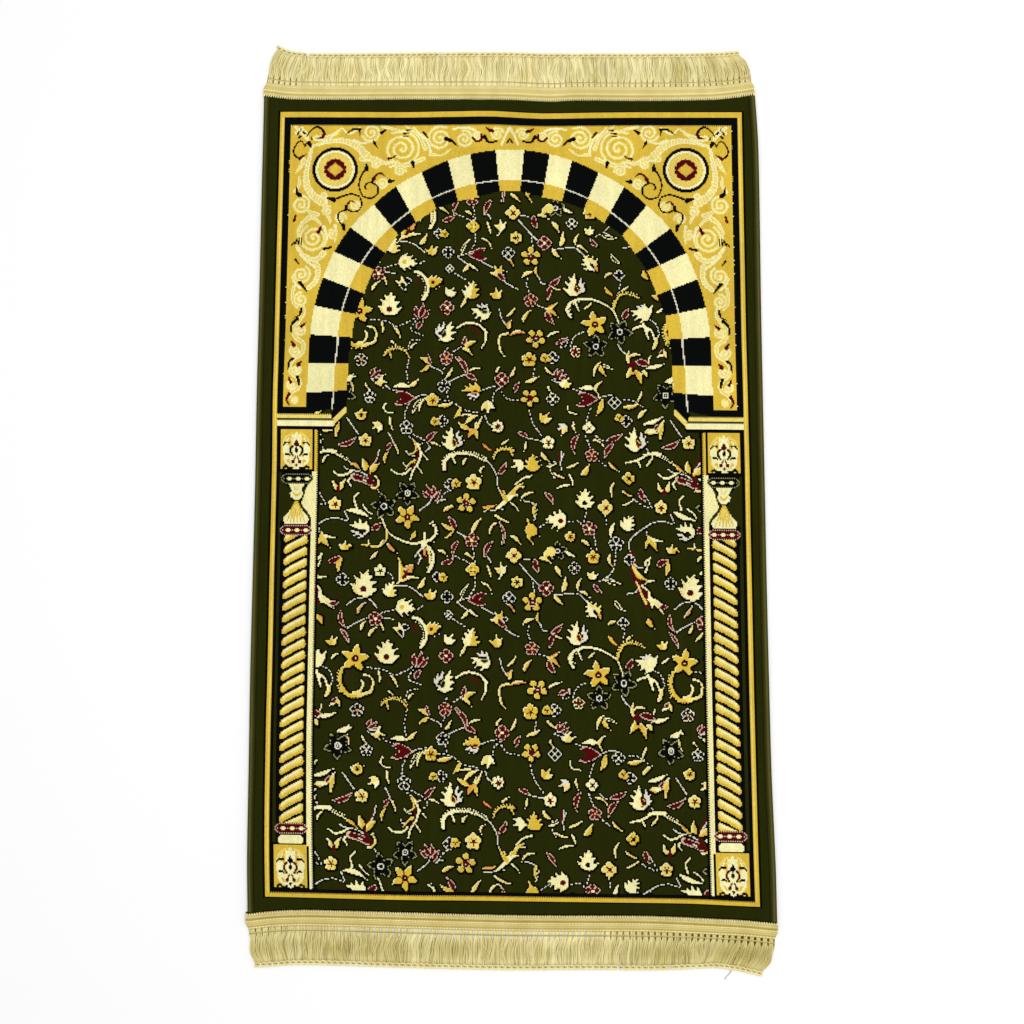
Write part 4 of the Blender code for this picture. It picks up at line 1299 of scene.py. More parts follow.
# A palmette panel, its left half: points, width at each end, yarn, from its own top left corner
PANEL_ART = (
    (((3, 22), (8, 11), (15, 6)), 2.5, 3, "P"), (((6, 24), (11, 14), (17, 9)), 3.5, 4, "C"),
    (((21.5, 4), (21.5, 16)), 2.5, 9, "C"), (((14, 8), (12, 16)), 2, 3, "G"),
    (((8, 25), (10, 38), (21.5, 44)), 9, 9, "C"), (((21.5, 18), (21.5, 50)), 14, 8, "C"),
    (((6, 38), (9, 46), (21.5, 52)), 3, 5, "C"), (((21.5, 15), (21.5, 20)), 1.6, 6.5, "1"),
    (((21.5, 20), (21.5, 22.5)), 6.5, 3, "1"), (((4, 22), (7, 18), (12, 18)), 2, 3, "4"),
    (((17, 22.5), (13, 28.5), (16.5, 35)), 3.2, 2.8, "2"),
    (((21.5, 26.5), (21.5, 30)), 3.6, 3.6, "4"), (((8, 34), (11, 33.5), (13, 36)), 3.4, 2, "4"),
    (((17.5, 43), (20, 37)), 2.4, 1.8, "3"), (((17.2, 43.6), (17.2, 44.4)), 4.4, 4.4, "3"),
    (((11, 42), (13, 46)), 3, 2, "G"), (((5, 52), (8, 49.5), (10.5, 52.5), (17, 52)), 3, 2, "4"),
    (((21.5, 48.5), (21.5, 50)), 3.6, 2.6, "4"),
)
# The yarns that the art's numbers stand for
PANEL_YARNS = {
    "upper": {"1": "R", "2": "K", "3": "R", "4": "K"},
    "lower": {"1": "K", "2": "R", "3": "R", "4": "K"},
}


def draw_panel(layer, x, y, yarns):
    """A gold panel with a palmette. The art's numbered yarns are looked up here."""
    box(layer, x, x + PANEL_SIZE[0], y, y + PANEL_SIZE[1], "G")
    for points, width, end_width, yarn in PANEL_ART:
        for side in (points, [(PANEL_ACROSS - px, py) for px, py in points]):
            stroke(layer, shifted(side, x, y), width, yarns.get(yarn, yarn), end_width)


# A column's ring, tuft by tuft: L the line, K the dark yarn, C cream
RING = (
    "    L L L L L L L L L L L    ",
    "  LKKKKKKKKKKKKKKKKKKKKKKKL  ",
    " LKKKKKKKKKKKKKKKKKKKKKKKKKL ",
    "LKKKKKCCCKKKKKCCCKKKKKCCCKKKL",
    " KLKKCCCCCKLKCCCCCKLKCCCCCLKK",
    "LKKKKKCCCKKKKKCCCKKKKKCCCKKKL",
    " LKKKKKKKKKKKKKKKKKKKKKKKKKL ",
    "  LKKKKKKKKKKKKKKKKKKKKKKKL  ",
    "    L L L L L L L L L L L    ",
)


def draw_ring(layer, x, y, dark, line):
    """A column's ring: an oval band with three cream eyes and a dotted edge."""
    yarns = {"L": line, "K": dark, "C": "C"}
    column = int((x - LEFT) / CELL[0]) - len(RING[0]) // 2
    row = int((y - TOP) / CELL[1]) - len(RING) // 2
    for down, tufts in enumerate(RING):
        for over, tuft in enumerate(tufts):
            if tuft != " ":
                layer[row + down, column + over] = NUMBER[yarns[tuft]]


# One turn of the shaft: places across it and down from the turn's upper right, yarn
SHAFT_BAND = (
    (((0.0, 16.0), (0.05, 12.5), (0.22, 8.5), (0.90, -3.4), (0.97, -1.4), (1.0, 3.8), (0.94, 7.9),
      (0.6, 12.1), (0.1, 21.5), (0.02, 20.9)), "G"),
    (((0.04, 16.0), (0.08, 12.5), (0.24, 8.6), (0.90, -3.0), (0.96, -0.5), (0.88, 5.0), (0.34, 12.2),
      (0.10, 18.0)), "P"),
    (((0.06, 14.6), (0.10, 12.0), (0.24, 8.9), (0.89, -2.6), (0.92, -1.0), (0.75, 3.0), (0.3, 10.4),
      (0.11, 15.0)), "C"),
)

COLUMN_X = 31.8              # the column's middle
STRIP = (54.3, 58.8)         # the pale strip beside the column
SHAFT_SIDES = (17.0, 48.4)
SHAFT_TOP, SHAFT_FOOT, SHAFT_PITCH = 585.0, 957.0, 15.15
UPPER_PANEL, LOWER_PANEL = 441.5, 985.0
# The dark ground of the vase, and the pale lattice beside the vase and the shaft
VASE_GROUND = (
    (11, 499), (54, 499), (52, 512), (41, 522), (38, 537), (34, 543), (42, 556), (53, 566),
    (53, 592), (11, 592), (11, 566), (24, 554), (30, 543), (25, 536), (23, 522), (13, 512),
)
LATTICE = (
    (52.4, 499), (58.8, 499), (58.8, 986), (51.4, 986), (51.4, 590), (52.6, 575), (52.4, 563),
    (50, 556), (44.5, 550), (40, 544), (39, 540), (42.4, 530), (44, 522), (47, 516), (53, 509),
)
# The vase's cup, its body, and the neck of the body
CUP = (
    (21, 515), (42.5, 515), (39, 521), (38.2, 524.5), (41, 528), (38.6, 533), (35, 536),
    (28.5, 536), (25, 533), (22.8, 528), (25.5, 524.5), (24.5, 521),
)
VASE = (
    (30, 538.5), (34, 538.5), (37.5, 546), (42, 553), (48, 559.5), (48.8, 563), (46.5, 568.5),
    (17, 568.5), (14.8, 563), (16, 559.5), (22, 553), (26.5, 546),
)
VASE_NECK = (
    (30, 538.5), (34, 538.5), (37.5, 546), (40.5, 552), (23.5, 552), (26.5, 546),
)
# Lines on the cup: points, width, yarn
CUP_LINES = (
    (((28, 517), (31.5, 524), (35.5, 517)), 1.6, "P"),
    (((27.5, 527), (31.5, 531), (37, 527.5)), 2.4, "G"),
)
# The flutes that fan out down the vase: how far out each ends, the heights they pass, width, yarn
FLUTES = (
    ((-12, -7, -2.5, 2.5, 7, 12), (545, 554, 566), 2.2, "G"),
    ((-9, -4.5, 0, 4.5, 9), (544, 553, 560), 1.6, "P"),
)
COLUMN_BASE = (
    (19, 973), (44, 973), (48, 977), (48, 981), (45, 984), (18, 984), (15, 981), (15, 977),
)


def draw_lattice(layer):
    """The pale strip beside the vase and the shaft, flecked every few tufts."""
    fill(layer, LATTICE, "C")
    cells, dx, dy = near(layer, 50, 740, 250)
    across, down = tuft_steps(dx, dy, 700)
    flecked = ((across + down) % 3 == 0) & (down % 2 == 0)
    cells[flecked & (cells == NUMBER["C"])] = NUMBER["P"]


def draw_vase(layer):
    """The vase that stands on the shaft: a cup over a fluted body."""
    fill(layer, CUP, "C")
    for points, width, yarn in CUP_LINES:
        stroke(layer, points, width, yarn)
    fill(layer, VASE, "C")
    fill(layer, VASE_NECK, "G")
    for spreads, heights, width, yarn in FLUTES:
        for spread in spreads:
            points = [(COLUMN_X + share * spread, y) for share, y in zip((0.2, 0.6, 1.0), heights)]
            stroke(layer, points, width, yarn, 1.2)


def draw_shaft(layer):
    """The twisted shaft, turn by turn, cut level at its top and foot."""
    for step in range(-1, int((SHAFT_FOOT - SHAFT_TOP) / SHAFT_PITCH) + 3):
        y = SHAFT_TOP + 2 + step * SHAFT_PITCH
        for shape, yarn in SHAFT_BAND:
            fill(layer, [(mix(*SHAFT_SIDES, across), min(max(y + down, SHAFT_TOP - 1), SHAFT_FOOT))
                         for across, down in shape], yarn)


def draw_column(layer):
    """A twisted column between two rings on its base, under a vase, with a panel at each end."""
    left, right = STRIP
    box(layer, BLACK_LEFT, FIELD_LEFT, PANEL_TOP, FIELD_FOOT, "V")
    box(layer, BLACK_LEFT, FRAME_LEFT + 10, PANEL_TOP, 1041, "K")
    box(layer, 12.4, 51.4, 575, FIELD_FOOT - 55, "K")
    box(layer, left, right, PANEL_TOP, FIELD_FOOT, "C")
    for y, yarns in ((UPPER_PANEL, PANEL_YARNS["upper"]), (LOWER_PANEL, PANEL_YARNS["lower"])):
        box(layer, BLACK_LEFT, left, y - 3, y + 57, "K")
        draw_panel(layer, 9.2, y, yarns)
    box(layer, BLACK_LEFT, left, 495, 500, "K")
    fill(layer, VASE_GROUND, "K")
    draw_lattice(layer)
    draw_ring(layer, COLUMN_X, 507.5, "K", "S")
    draw_vase(layer)
    draw_ring(layer, COLUMN_X, 576.5, "R", "B")
    draw_shaft(layer)
    draw_ring(layer, COLUMN_X, 964.5, "R", "B")
    fill(layer, COLUMN_BASE, "C")
    box(layer, left, right, PANEL_TOP, 499, "G")
    box(layer, right, FIELD_LEFT + 1.5, PANEL_TOP, FIELD_FOOT, "K")
    side_teeth(layer, right, PANEL_TOP, FIELD_FOOT, -1.4, "D")


# The frame's level and upright bands in drawing order: left, right, top, foot, yarn
FRAME_BANDS = (
    (FRAME_LEFT - 1.4, HALF_END, FRAME_TOP - 1.6, FRAME_TOP, "D"),
    (FRAME_LEFT - 2.9, FRAME_LEFT, FRAME_TOP - 1.6, FRAME_FOOT + 1.5, "D"),
    (FRAME_LEFT - 1.4, HALF_END, FRAME_FOOT, FRAME_FOOT + 1.6, "D"),
    (FRAME_LEFT + 6.5, HALF_END, 7, CORNER_TOP, "K"),
    (FRAME_LEFT + 6.5, FRAME_LEFT + 14, 7, 421, "K"),
    (FRAME_LEFT + 6.5, HALF_END, FIELD_FOOT, 1044.5, "K"),
    (FRAME_LEFT, FRAME_LEFT + 6.6, FRAME_TOP, FRAME_FOOT, "G"),
    (FRAME_LEFT + 3.4, FRAME_LEFT + 5.2, 3.4, FRAME_FOOT - 3.4, "P"),
    (FRAME_LEFT, HALF_END, FRAME_TOP, 7.2, "G"),
    (FRAME_LEFT, HALF_END, FRAME_FOOT - 6.6, FRAME_FOOT, "G"),
)


def draw_frame(layer):
    """The gold frame with its paler edges, and the black band inside it with its teeth."""
    for band in FRAME_BANDS:
        box(layer, *band)
    teeth(layer, FRAME_LEFT + 14, HALF_END, CORNER_TOP, 2.6, "K")
    side_teeth(layer, FRAME_LEFT + 14, 18, CORNER_FOOT, 1.5, "K")
    teeth(layer, FRAME_LEFT + 6.5, HALF_END, FRAME_FOOT - 6.8, 1.6, "K")


def draw_chart():
    """The whole chart: the ground, the field's flowers, then all that frames them."""
    layer = np.full((ROWS, COLUMNS), NUMBER["V"], np.int8)
    for down in (-1, 0, 1):
        for over in (-1, 0, 1):
            draw_field(layer, over * TILE[0], down * TILE[1])
    dark_outline_and_painted_light(layer)
    half = np.full((ROWS, COLUMNS), NOTHING, np.int8)
    draw_corner(half)
    draw_arch(half)
    draw_impost(half)
    draw_column(half)
    draw_frame(half)
    xs, ys = np.meshgrid(CELL_X, CELL_Y)
    inside = (xs > FRAME_LEFT) & (xs < 2 * MIRROR - FRAME_LEFT) & (ys > 0) & (ys < FRAME_FOOT)
    layer[~inside] = NUMBER["V"]
    # the opening under the arch is the field, so the corner's panel stops at the arch's inner edge
    mask = np.full_like(half, NOTHING)
    edge = [(HALF_END, 111.5), JOINTS[0][1]]
    for joint, following in zip(JOINTS, JOINTS[1:]):
        edge += block_edge(joint, following, 1)
    fill(mask, edge + [(96.4, PANEL_TOP), (HALF_END, PANEL_TOP)], "V")
    half[(mask == NUMBER["V"]) & (xs <= HALF_END)] = NOTHING
    half[:, COLUMNS // 2 + 1:] = half[:, :COLUMNS // 2][:, ::-1]
    layer[half != NOTHING] = half[half != NOTHING]
    return layer


chart = draw_chart()

# ---------------------------------------------------------------------------------------------
# From the chart to the cloth
# ---------------------------------------------------------------------------------------------
# How the frame drifts from square as the cloth lies: y down the chart, left edge, right edge
SIDE_DRIFT = (
    (0, 1.5, 0.0),
    (125, 0.5, -0.5),
    (245, -0.5, -0.8),
    (305, -1.0, -1.0),
    (395, -2.6, -0.6),
    (485, -2.0, -0.5),
    (545, -2.3, -0.8),
    (665, -3.2, -1.0),
    (785, -3.8, -1.2),
    (845, -4.1, -1.0),
    (965, -2.4, -0.6),
    (1052, 0.4, 0.2),
)
# How much further in the left gold line alone lies: y down the chart, distance
LINE_DRIFT = (
    (0, 0.0),
    (300, 0.0),
    (355, 0.7),
    (430, 0.8),
    (648, 1.2),
    (701, 1.4),
    (834, 1.25),
    (999, -0.2),
    (1052, -0.2),
)
LINE_HOLD = 6.0              # the left line's own drift is whole up to here
LINE_FADE = 6.0              # and dies away over this much more
DRIFT_HOLD = 60.0            # the sides' drift is whole for this far in from the frame
DRIFT_FADE = 70.0            # and dies away over this much more
# How the frame's top and foot drift: x, top, foot
END_DRIFT = (
    (-20, 0.0, 0.0),
    (60, -0.2, 0.3),
    (180, 0.0, 0.8),
    (240, -1.0, 0.0),
    (285, -1.8, -0.4),
    (330, 0.6, -0.6),
    (365, 1.8, -0.8),
    (440, 0.6, -1.4),
    (540, 0.0, -2.0),
    (600, 0.0, -0.4),
    (645, 0.0, 0.6),
)
END_FADE = 46.0              # the ends' drift dies away over this much

CHART_EDGE_STEPS = 220       # points along one end of the cloth
CHART_SIDE_STEPS = 360       # points along one side
EDGE_STEP = 22.0             # a long edge of the pattern has points this far apart
GRID = 12.0                  # spacing of the cloth's own points between the pattern's edges
PILE_WAVES = (               # how the pile's surface waves: height, length in x and in y, start
    (0.00022, 0.210, 0.330, 0.4),
    (0.00016, 0.090, 0.140, 1.9),
    (0.00008, 0.037, 0.061, 3.1),
)


def drift(x, y):
    """How far the cloth's own lie moves a point of the chart."""
    column, edge = (1, 0.0) if x < MIRROR else (2, 2 * MIRROR)
    fade = clamp(1 - (abs(x - edge) - DRIFT_HOLD) / DRIFT_FADE)
    across = smooth(SIDE_DRIFT, y, column) * ease(fade)
    across += smooth(LINE_DRIFT, y, 1) * clamp(1 - (x - LINE_HOLD) / LINE_FADE)
    column, end = (1, 0.0) if y < CHART_MIDDLE[1] else (2, FRAME_FOOT)
    fade = max(0.0, 1 - abs(y - end) / END_FADE)
    return across, smooth(END_DRIFT, x, column) * ease(fade)


def chart_to_plain(x, y):
    """A point of the chart on the plain rug, in metres."""
    across, down = drift(x, y)
    return ((x + across - CHART_MIDDLE[0]) * UNIT, (CHART_MIDDLE[1] - y - down) * UNIT)


def plain_to_chart(x, y):
    """The way back, near enough for a point of the outline."""
    flat_x, flat_y = x / UNIT + CHART_MIDDLE[0], CHART_MIDDLE[1] - y / UNIT
    across, down = drift(flat_x, flat_y)
    return flat_x - across, flat_y - down


def cloth_outline(inset):
    """The pile's outline on the plain rug, drawn in all round, anticlockwise from the foot."""
    points = []
    at_side = BINDING_WIDTH + GAP + PILE_SET_BACK + inset
    for end, other, side in ((ENDS["bottom"], ENDS["top"], 1), (ENDS["top"], ENDS["bottom"], -1)):
        end_y = end["side"] * END_LINE
        near_x, far_x = side_x(-side, end_y, at_side), side_x(side, end_y, at_side)
        for step in range(CHART_EDGE_STEPS):
            x = mix(near_x, far_x, step / CHART_EDGE_STEPS)
            points.append((x, pile_y(x, end, -TAPE_CLEARANCE - inset)))
        low, high = pile_y(far_x, end, -TAPE_CLEARANCE), pile_y(far_x, other, -TAPE_CLEARANCE)
        for step in range(CHART_SIDE_STEPS):
            y = mix(low, high, step / CHART_SIDE_STEPS)
            if step == 0:
                y = pile_y(far_x, end, -TAPE_CLEARANCE - inset)
            points.append((side_x(side, y, at_side), y))
    return points


def chart_edges():
    """The corners of the pattern's edges on the chart, and the straight edges between them."""
    rim = np.pad(chart, 1, mode="edge")
    level = rim[:-1, 1:-1] != rim[1:, 1:-1]
    upright = rim[1:-1, :-1] != rim[1:-1, 1:]
    across = np.zeros((ROWS + 1, COLUMNS + 2), bool)
    across[:, 1:-1] = level
    down = np.zeros((ROWS + 2, COLUMNS + 1), bool)
    down[1:-1] = upright
    left, right, up, below = across[:, :-1], across[:, 1:], down[:-1], down[1:]
    straight = (left & right & ~up & ~below) | (up & below & ~left & ~right)
    corner = (left | right | up | below) & ~straight
    number = -np.ones((ROWS + 1, COLUMNS + 1), int)
    rows, columns = np.nonzero(corner)
    number[rows, columns] = np.arange(len(rows))
    edges = []
    for numbers, joined in ((number, level), (number.T, upright.T)):
        for marks, edge in zip(numbers, joined):
            on = np.nonzero(marks >= 0)[0]
            for first, last in zip(on, on[1:]):
                if edge[first]:
                    edges.append((int(marks[first]), int(marks[last])))
    corners = [(LEFT + column * CELL[0], TOP + row * CELL[1]) for row, column in zip(rows, columns)]
    return corners, edges


def with_steps(corners, edges):
    """The same edges with points put in along the long ones, so that they follow the drift."""
    points, joins = list(corners), []
    for first, last in edges:
        (ax, ay), (bx, by) = corners[first], corners[last]
        count = max(1, int(hypot(bx - ax, by - ay) / EDGE_STEP))
        before = first
        for step in range(1, count):
            points.append((mix(ax, bx, step / count), mix(ay, by, step / count)))
            joins.append((before, len(points) - 1))
            before = len(points) - 1
        joins.append((before, last))
    return points, joins


def grid_points(spacing):
    """Loose points all over the chart, a little out of line so that no four meet on a circle."""
    points = []
    for row in range(int(ROWS * CELL[1] / spacing)):
        for column in range(int(COLUMNS * CELL[0] / spacing)):
            points.append((LEFT + (column + 0.5 + 0.23 * (row % 2)) * spacing + 0.311,
                           TOP + (row + 0.5 + 0.11 * (column % 3)) * spacing + 0.177))
    return points


GRID_REACH = (0.985, 0.99)   # shares of the loop's width and length that the loose points fill


def triangulate(loop, spacing, pattern):
    """Triangles inside a loop of chart points that keep to the pattern's edges."""
    points, edges = [], []
    if pattern:
        corners, joins = with_steps(*chart_edges())
        keep = inside_of(*np.array(corners).T, loop)
        order = np.cumsum(keep) - 1
        points = [corner for corner, kept in zip(corners, keep) if kept]
        edges = [(int(order[a]), int(order[b])) for a, b in joins if keep[a] and keep[b]]
    start = len(points)
    points += loop
    edges += [(start + i, start + (i + 1) % len(loop)) for i in range(len(loop))]
    loose = grid_points(spacing)
    held = [(mix(MIRROR, x, GRID_REACH[0]), mix(CHART_MIDDLE[1], y, GRID_REACH[1])) for x, y in loop]
    points += [point for point, kept in zip(loose, inside_of(*np.array(loose).T, held)) if kept]
    made = delaunay_2d_cdt([Vector(point) for point in points], edges, [], 0, 1e-5, True)
    places = np.array([tuple(point) for point in made[0]])
    faces = np.array([tuple(face) for face in made[2]])
    faces = faces[inside_of(*places[faces].mean(1).T, loop)]
    starts = {source: index for index, sources in enumerate(made[3]) for source in sources}
    return places, faces, [starts[start + i] for i in range(len(loop))]


def pile_height(x, y):
    """The pile's surface at a place of the plain rug."""
    height = PILE_TOP
    for size, long_x, long_y, begin in PILE_WAVES:
        height += size * sin(2 * pi * x / long_x + begin) * sin(2 * pi * y / long_y + 2 * begin) - size
    return height


# The rim of the cloth, from the top face's outline outwards: share of the rounding, drop
RIM = (
    (0.35, 0.00008),
    (0.65, 0.00026),
    (0.87, 0.00060),
    (1.00, 0.00120),
)
# The baking map, the back beside the top: where each starts and its width
BAKE_TOP = (0.0, 0.62)
BAKE_BACK = (0.64, 0.36)
BAKE_X = (-24, 651)          # the part of the chart that the map holds
BAKE_Y = (-32, 1080)


def rises(a, b, c):
    """Whether a triangle's corners go round anticlockwise, as seen from above."""
    return (b[0] - a[0]) * (c[1] - a[1]) - (b[1] - a[1]) * (c[0] - a[0]) > 0


def cloth_yarns(middles):
    """The number of the yarn at each place of the chart."""
    columns = np.clip(((middles[:, 0] - LEFT) / CELL[0]).astype(int), 0, COLUMNS - 1)
    rows = np.clip(((middles[:, 1] - TOP) / CELL[1]).astype(int), 0, ROWS - 1)
    return [int(yarn) for yarn in chart[rows, columns]]


def dress_cloth(mesh, chart_at, polygons, colours, parts):
    """The cloth's colours, the map that counts its tufts, and the map for baking."""
    palette = [linear(colour) for colour in YARNS.values()]
    corner_colours, corner_tufts, corner_bake = [], [], []
    for polygon, colour, part in zip(polygons, colours, parts):
        start, width = BAKE_BACK if part == "back" else BAKE_TOP
        for index in polygon:
            x, y = chart_at[index]
            corner_colours += (*palette[colour], 1.0)
            corner_tufts += ((x - LEFT) / CELL[0], (TOP - y) / CELL[1])
            across = clamp((x - BAKE_X[0]) / (BAKE_X[1] - BAKE_X[0]))
            corner_bake += (start + across * width, clamp((BAKE_Y[1] - y) / (BAKE_Y[1] - BAKE_Y[0])))
    mesh.color_attributes.new("yarn", "BYTE_COLOR", "CORNER").data.foreach_set("color", corner_colours)
    for name, values in (("tufts", corner_tufts), ("OFBake", corner_bake)):
        mesh.uv_layers.new(name=name)
        mesh.uv_layers[name].data.foreach_set("uv", values)


def cloth_piece():
    """The rug itself: velvet on top, rounded at its rim, with the woven back underneath."""
    inner, outer = cloth_outline(PILE_ROUND), cloth_outline(0.0)
    places, faces, ring = triangulate([plain_to_chart(x, y) for x, y in inner], GRID, True)
    plain = [chart_to_plain(x, y) for x, y in places]
    vertices = [lie(x, y, pile_height(x, y)) for x, y in plain]
    chart_at = [tuple(place) for place in places]
    polygons = []
    for face in faces:
        face = tuple(int(i) for i in face)
        polygons.append(face if rises(*(vertices[i] for i in face)) else face[::-1])
    colours = cloth_yarns(places[faces].mean(1))
    parts = ["top"] * len(polygons)
    rings = [ring]

    def add_ring(points_at, heights):
        rings.append(list(range(len(vertices), len(vertices) + len(points_at))))
        vertices.extend(lie(x, y, z) for (x, y), z in zip(points_at, heights))
        chart_at.extend(plain_to_chart(x, y) for x, y in points_at)

    def add_face(face, part):
        polygons.append(face)
        colours.append(NUMBER["V"])
        parts.append(part)

    for share, drop in RIM:
        between = [(mix(a[0], b[0], share), mix(a[1], b[1], share)) for a, b in zip(inner, outer)]
        add_ring(between, [pile_height(x, y) - drop for x, y in inner])
    add_ring(outer, [BASE_TOP] * len(outer))
    add_ring(outer, [0.0] * len(outer))
    size = len(ring)
    for level, (upper, lower) in enumerate(zip(rings, rings[1:])):
        for i in range(size):
            j = (i + 1) % size
            add_face((upper[i], lower[i], lower[j], upper[j]), "side" if level <= len(RIM) else "back")
    places, faces, ring = triangulate([plain_to_chart(x, y) for x, y in outer], 2 * GRID, False)
    known = {index: rings[-1][i] for i, index in enumerate(ring)}
    for index, (x, y) in enumerate(places):
        if index not in known:
            known[index] = len(vertices)
            vertices.append(lie(*chart_to_plain(x, y), 0.0))
            chart_at.append((x, y))
    for face in faces:
        a, b, c = (known[int(i)] for i in face)
        add_face((a, c, b) if rises(vertices[a], vertices[b], vertices[c]) else (a, b, c), "back")
    made = add_mesh("rug_cloth", vertices, polygons, [pile_material(), back_material()])
    made.data.polygons.foreach_set("material_index", [int(part == "back") for part in parts])
    dress_cloth(made.data, chart_at, polygons, colours, parts)
    smooth_faces(made)
    return made


# ---------------------------------------------------------------------------------------------
# Materials
# ---------------------------------------------------------------------------------------------
def linear(colour):
    """A colour given in sRGB steps of 255, as light."""
    return tuple(c / 12.92 if c <= 0.04045 else ((c + 0.055) / 1.055)**2.4
                 for c in (step / 255 for step in colour))


class Nodes:
    """A new material's nodes, made and joined in few words."""

    def __init__(self, name, roughness, sheen=0.0, specular=0.2):
        self.material = bpy.data.materials.new(name)
        self.material.use_nodes = True
        self.tree = self.material.node_tree
        self.shader = self.tree.nodes["Principled BSDF"]
        self.shader.inputs["Roughness"].default_value = roughness
        self.shader.inputs["Sheen Weight"].default_value = sheen
        self.shader.inputs["Sheen Roughness"].default_value = 0.5
        self.shader.inputs["Specular IOR Level"].default_value = specular

    def add(self, kind, **settings):
        """A node of one kind, with some of its attributes set."""
        node = self.tree.nodes.new(kind)
        for name, value in settings.items():
            setattr(node, name, value)
        return node

    def join(self, source, target):
        """A link from an output to an input."""
        self.tree.links.new(source, target)

    def scaled(self, source, scale):
        """Coordinates stretched by so much along each axis."""
        node = self.add("ShaderNodeMapping")
        node.inputs["Scale"].default_value = scale
        self.join(source, node.inputs["Vector"])
        return node.outputs["Vector"]

    def noise(self, vector, scale, detail, roughness=0.5):
        """A cloudy pattern."""
        node = self.add("ShaderNodeTexNoise")
        node.inputs["Scale"].default_value = scale
        node.inputs["Detail"].default_value = detail
        node.inputs["Roughness"].default_value = roughness
        self.join(vector, node.inputs["Vector"])
        return node.outputs["Fac"]

    def varied(self, vector, detail, low, high, scale=1.0):
        """A number that wanders between two others."""
        return self.ranged(self.noise(vector, scale, detail), 0.3, 0.7, low, high)

    def ranged(self, value, low, high, new_low, new_high):
        """A number moved from one range to another."""
        node = self.add("ShaderNodeMapRange")
        for name, number in (("From Min", low), ("From Max", high), ("To Min", new_low),
                             ("To Max", new_high)):
            node.inputs[name].default_value = number
        self.join(value, node.inputs["Value"])
        return node.outputs["Result"]

    def maths(self, operation, first, second):
        """One sum of two numbers or outputs."""
        node = self.add("ShaderNodeMath", operation=operation)
        for socket, value in zip(node.inputs, (first, second)):
            if isinstance(value, (int, float)):
                socket.default_value = value
            else:
                self.join(value, socket)
        return node.outputs["Value"]

    def times(self, colour, factor):
        """A colour made lighter or darker by a number."""
        node = self.add("ShaderNodeVectorMath", operation="SCALE")
        self.join(colour, node.inputs[0])
        self.join(factor, node.inputs["Scale"])
        return node.outputs["Vector"]

    def blend(self, factor, first, second):
        """One colour or another by a factor."""
        node = self.add("ShaderNodeMix", data_type="RGBA")
        self.join(factor, node.inputs["Factor"])
        for socket, value in ((node.inputs[6], first), (node.inputs[7], second)):
            if isinstance(value, tuple):
                socket.default_value = (*linear(value), 1.0)
            else:
                self.join(value, socket)
        return node.outputs[2]

    def bump(self, height, strength, distance):
        """Small unevenness of the surface, seen only in its shading."""
        node = self.add("ShaderNodeBump")
        node.inputs["Strength"].default_value = strength
        node.inputs["Distance"].default_value = distance
        self.join(height, node.inputs["Height"])
        self.join(node.outputs["Normal"], self.shader.inputs["Normal"])

    def finish(self, colour):
        """The material, with this colour."""
        self.join(colour, self.shader.inputs["Base Color"])
        return self.material


def pile_material():
    """Cut pile: each tuft catches the light a little differently, with painted shade in the hollows
    between the tufts and broad painted patches of light and shade where the pile lies differently.
    """
    made = Nodes("velvet_pile", 0.95, sheen=0.02, specular=0.02)
    place = made.add("ShaderNodeUVMap", uv_map="tufts").outputs["UV"]
    tuft = made.add("ShaderNodeTexVoronoi", feature="F1", voronoi_dimensions="2D")
    tuft.inputs["Scale"].default_value = 1.0
    tuft.inputs["Randomness"].default_value = 0.35
    made.join(place, tuft.inputs["Vector"])
    each = made.add("ShaderNodeTexWhiteNoise", noise_dimensions="2D")
    made.join(tuft.outputs["Position"], each.inputs["Vector"])
    shade = made.ranged(each.outputs["Value"], 0.0, 1.0, 0.89, 1.07)
    # Painted shade: darker towards each tuft's edge, in the hollows between the tufts.
    hollow_shade = made.ranged(tuft.outputs["Distance"], 0.15, 0.75, 1.03, 0.88)
    streak = made.varied(made.scaled(place, (0.16, 0.02, 1.0)), 3.0, 0.93, 1.07)
    # Painted light and shade in broad patches, as the pile's lay catches the light.
    lay_shading = made.varied(made.scaled(place, (0.02, 0.014, 1.0)), 2.0, 0.93, 1.07)
    factor = made.maths("MULTIPLY", made.maths("MULTIPLY", shade, hollow_shade),
                        made.maths("MULTIPLY", streak, lay_shading))
    yarn = made.add("ShaderNodeVertexColor", layer_name="yarn").outputs["Color"]
    lifted = made.maths("SUBTRACT", 1.0, tuft.outputs["Distance"])
    made.bump(lifted, 0.25, 0.0005)
    return made.finish(made.times(yarn, factor))


def back_material():
    """The woven back: jute and cotton threads over and under."""
    made = Nodes("woven_back", 0.9, specular=0.1)
    place = made.add("ShaderNodeUVMap", uv_map="tufts").outputs["UV"]
    cord = made.add("ShaderNodeTexWave", wave_type="BANDS", bands_direction="Y")
    cord.inputs["Scale"].default_value = 0.16
    cord.inputs["Distortion"].default_value = 0.6
    cord.inputs["Detail Scale"].default_value = 2.0
    made.join(place, cord.inputs["Vector"])
    warp = made.add("ShaderNodeTexWave", wave_type="BANDS", bands_direction="X")
    warp.inputs["Scale"].default_value = 0.3
    warp.inputs["Distortion"].default_value = 0.5
    made.join(place, warp.inputs["Vector"])
    weave = made.maths("MULTIPLY", cord.outputs["Fac"], warp.outputs["Fac"])
    fibre = made.varied(place, 3.0, 0.82, 1.12, 1.3)
    made.bump(weave, 0.6, 0.0006)
    colour = made.blend(weave, (92, 84, 52), (176, 160, 112))
    return made.finish(made.times(colour, fibre))


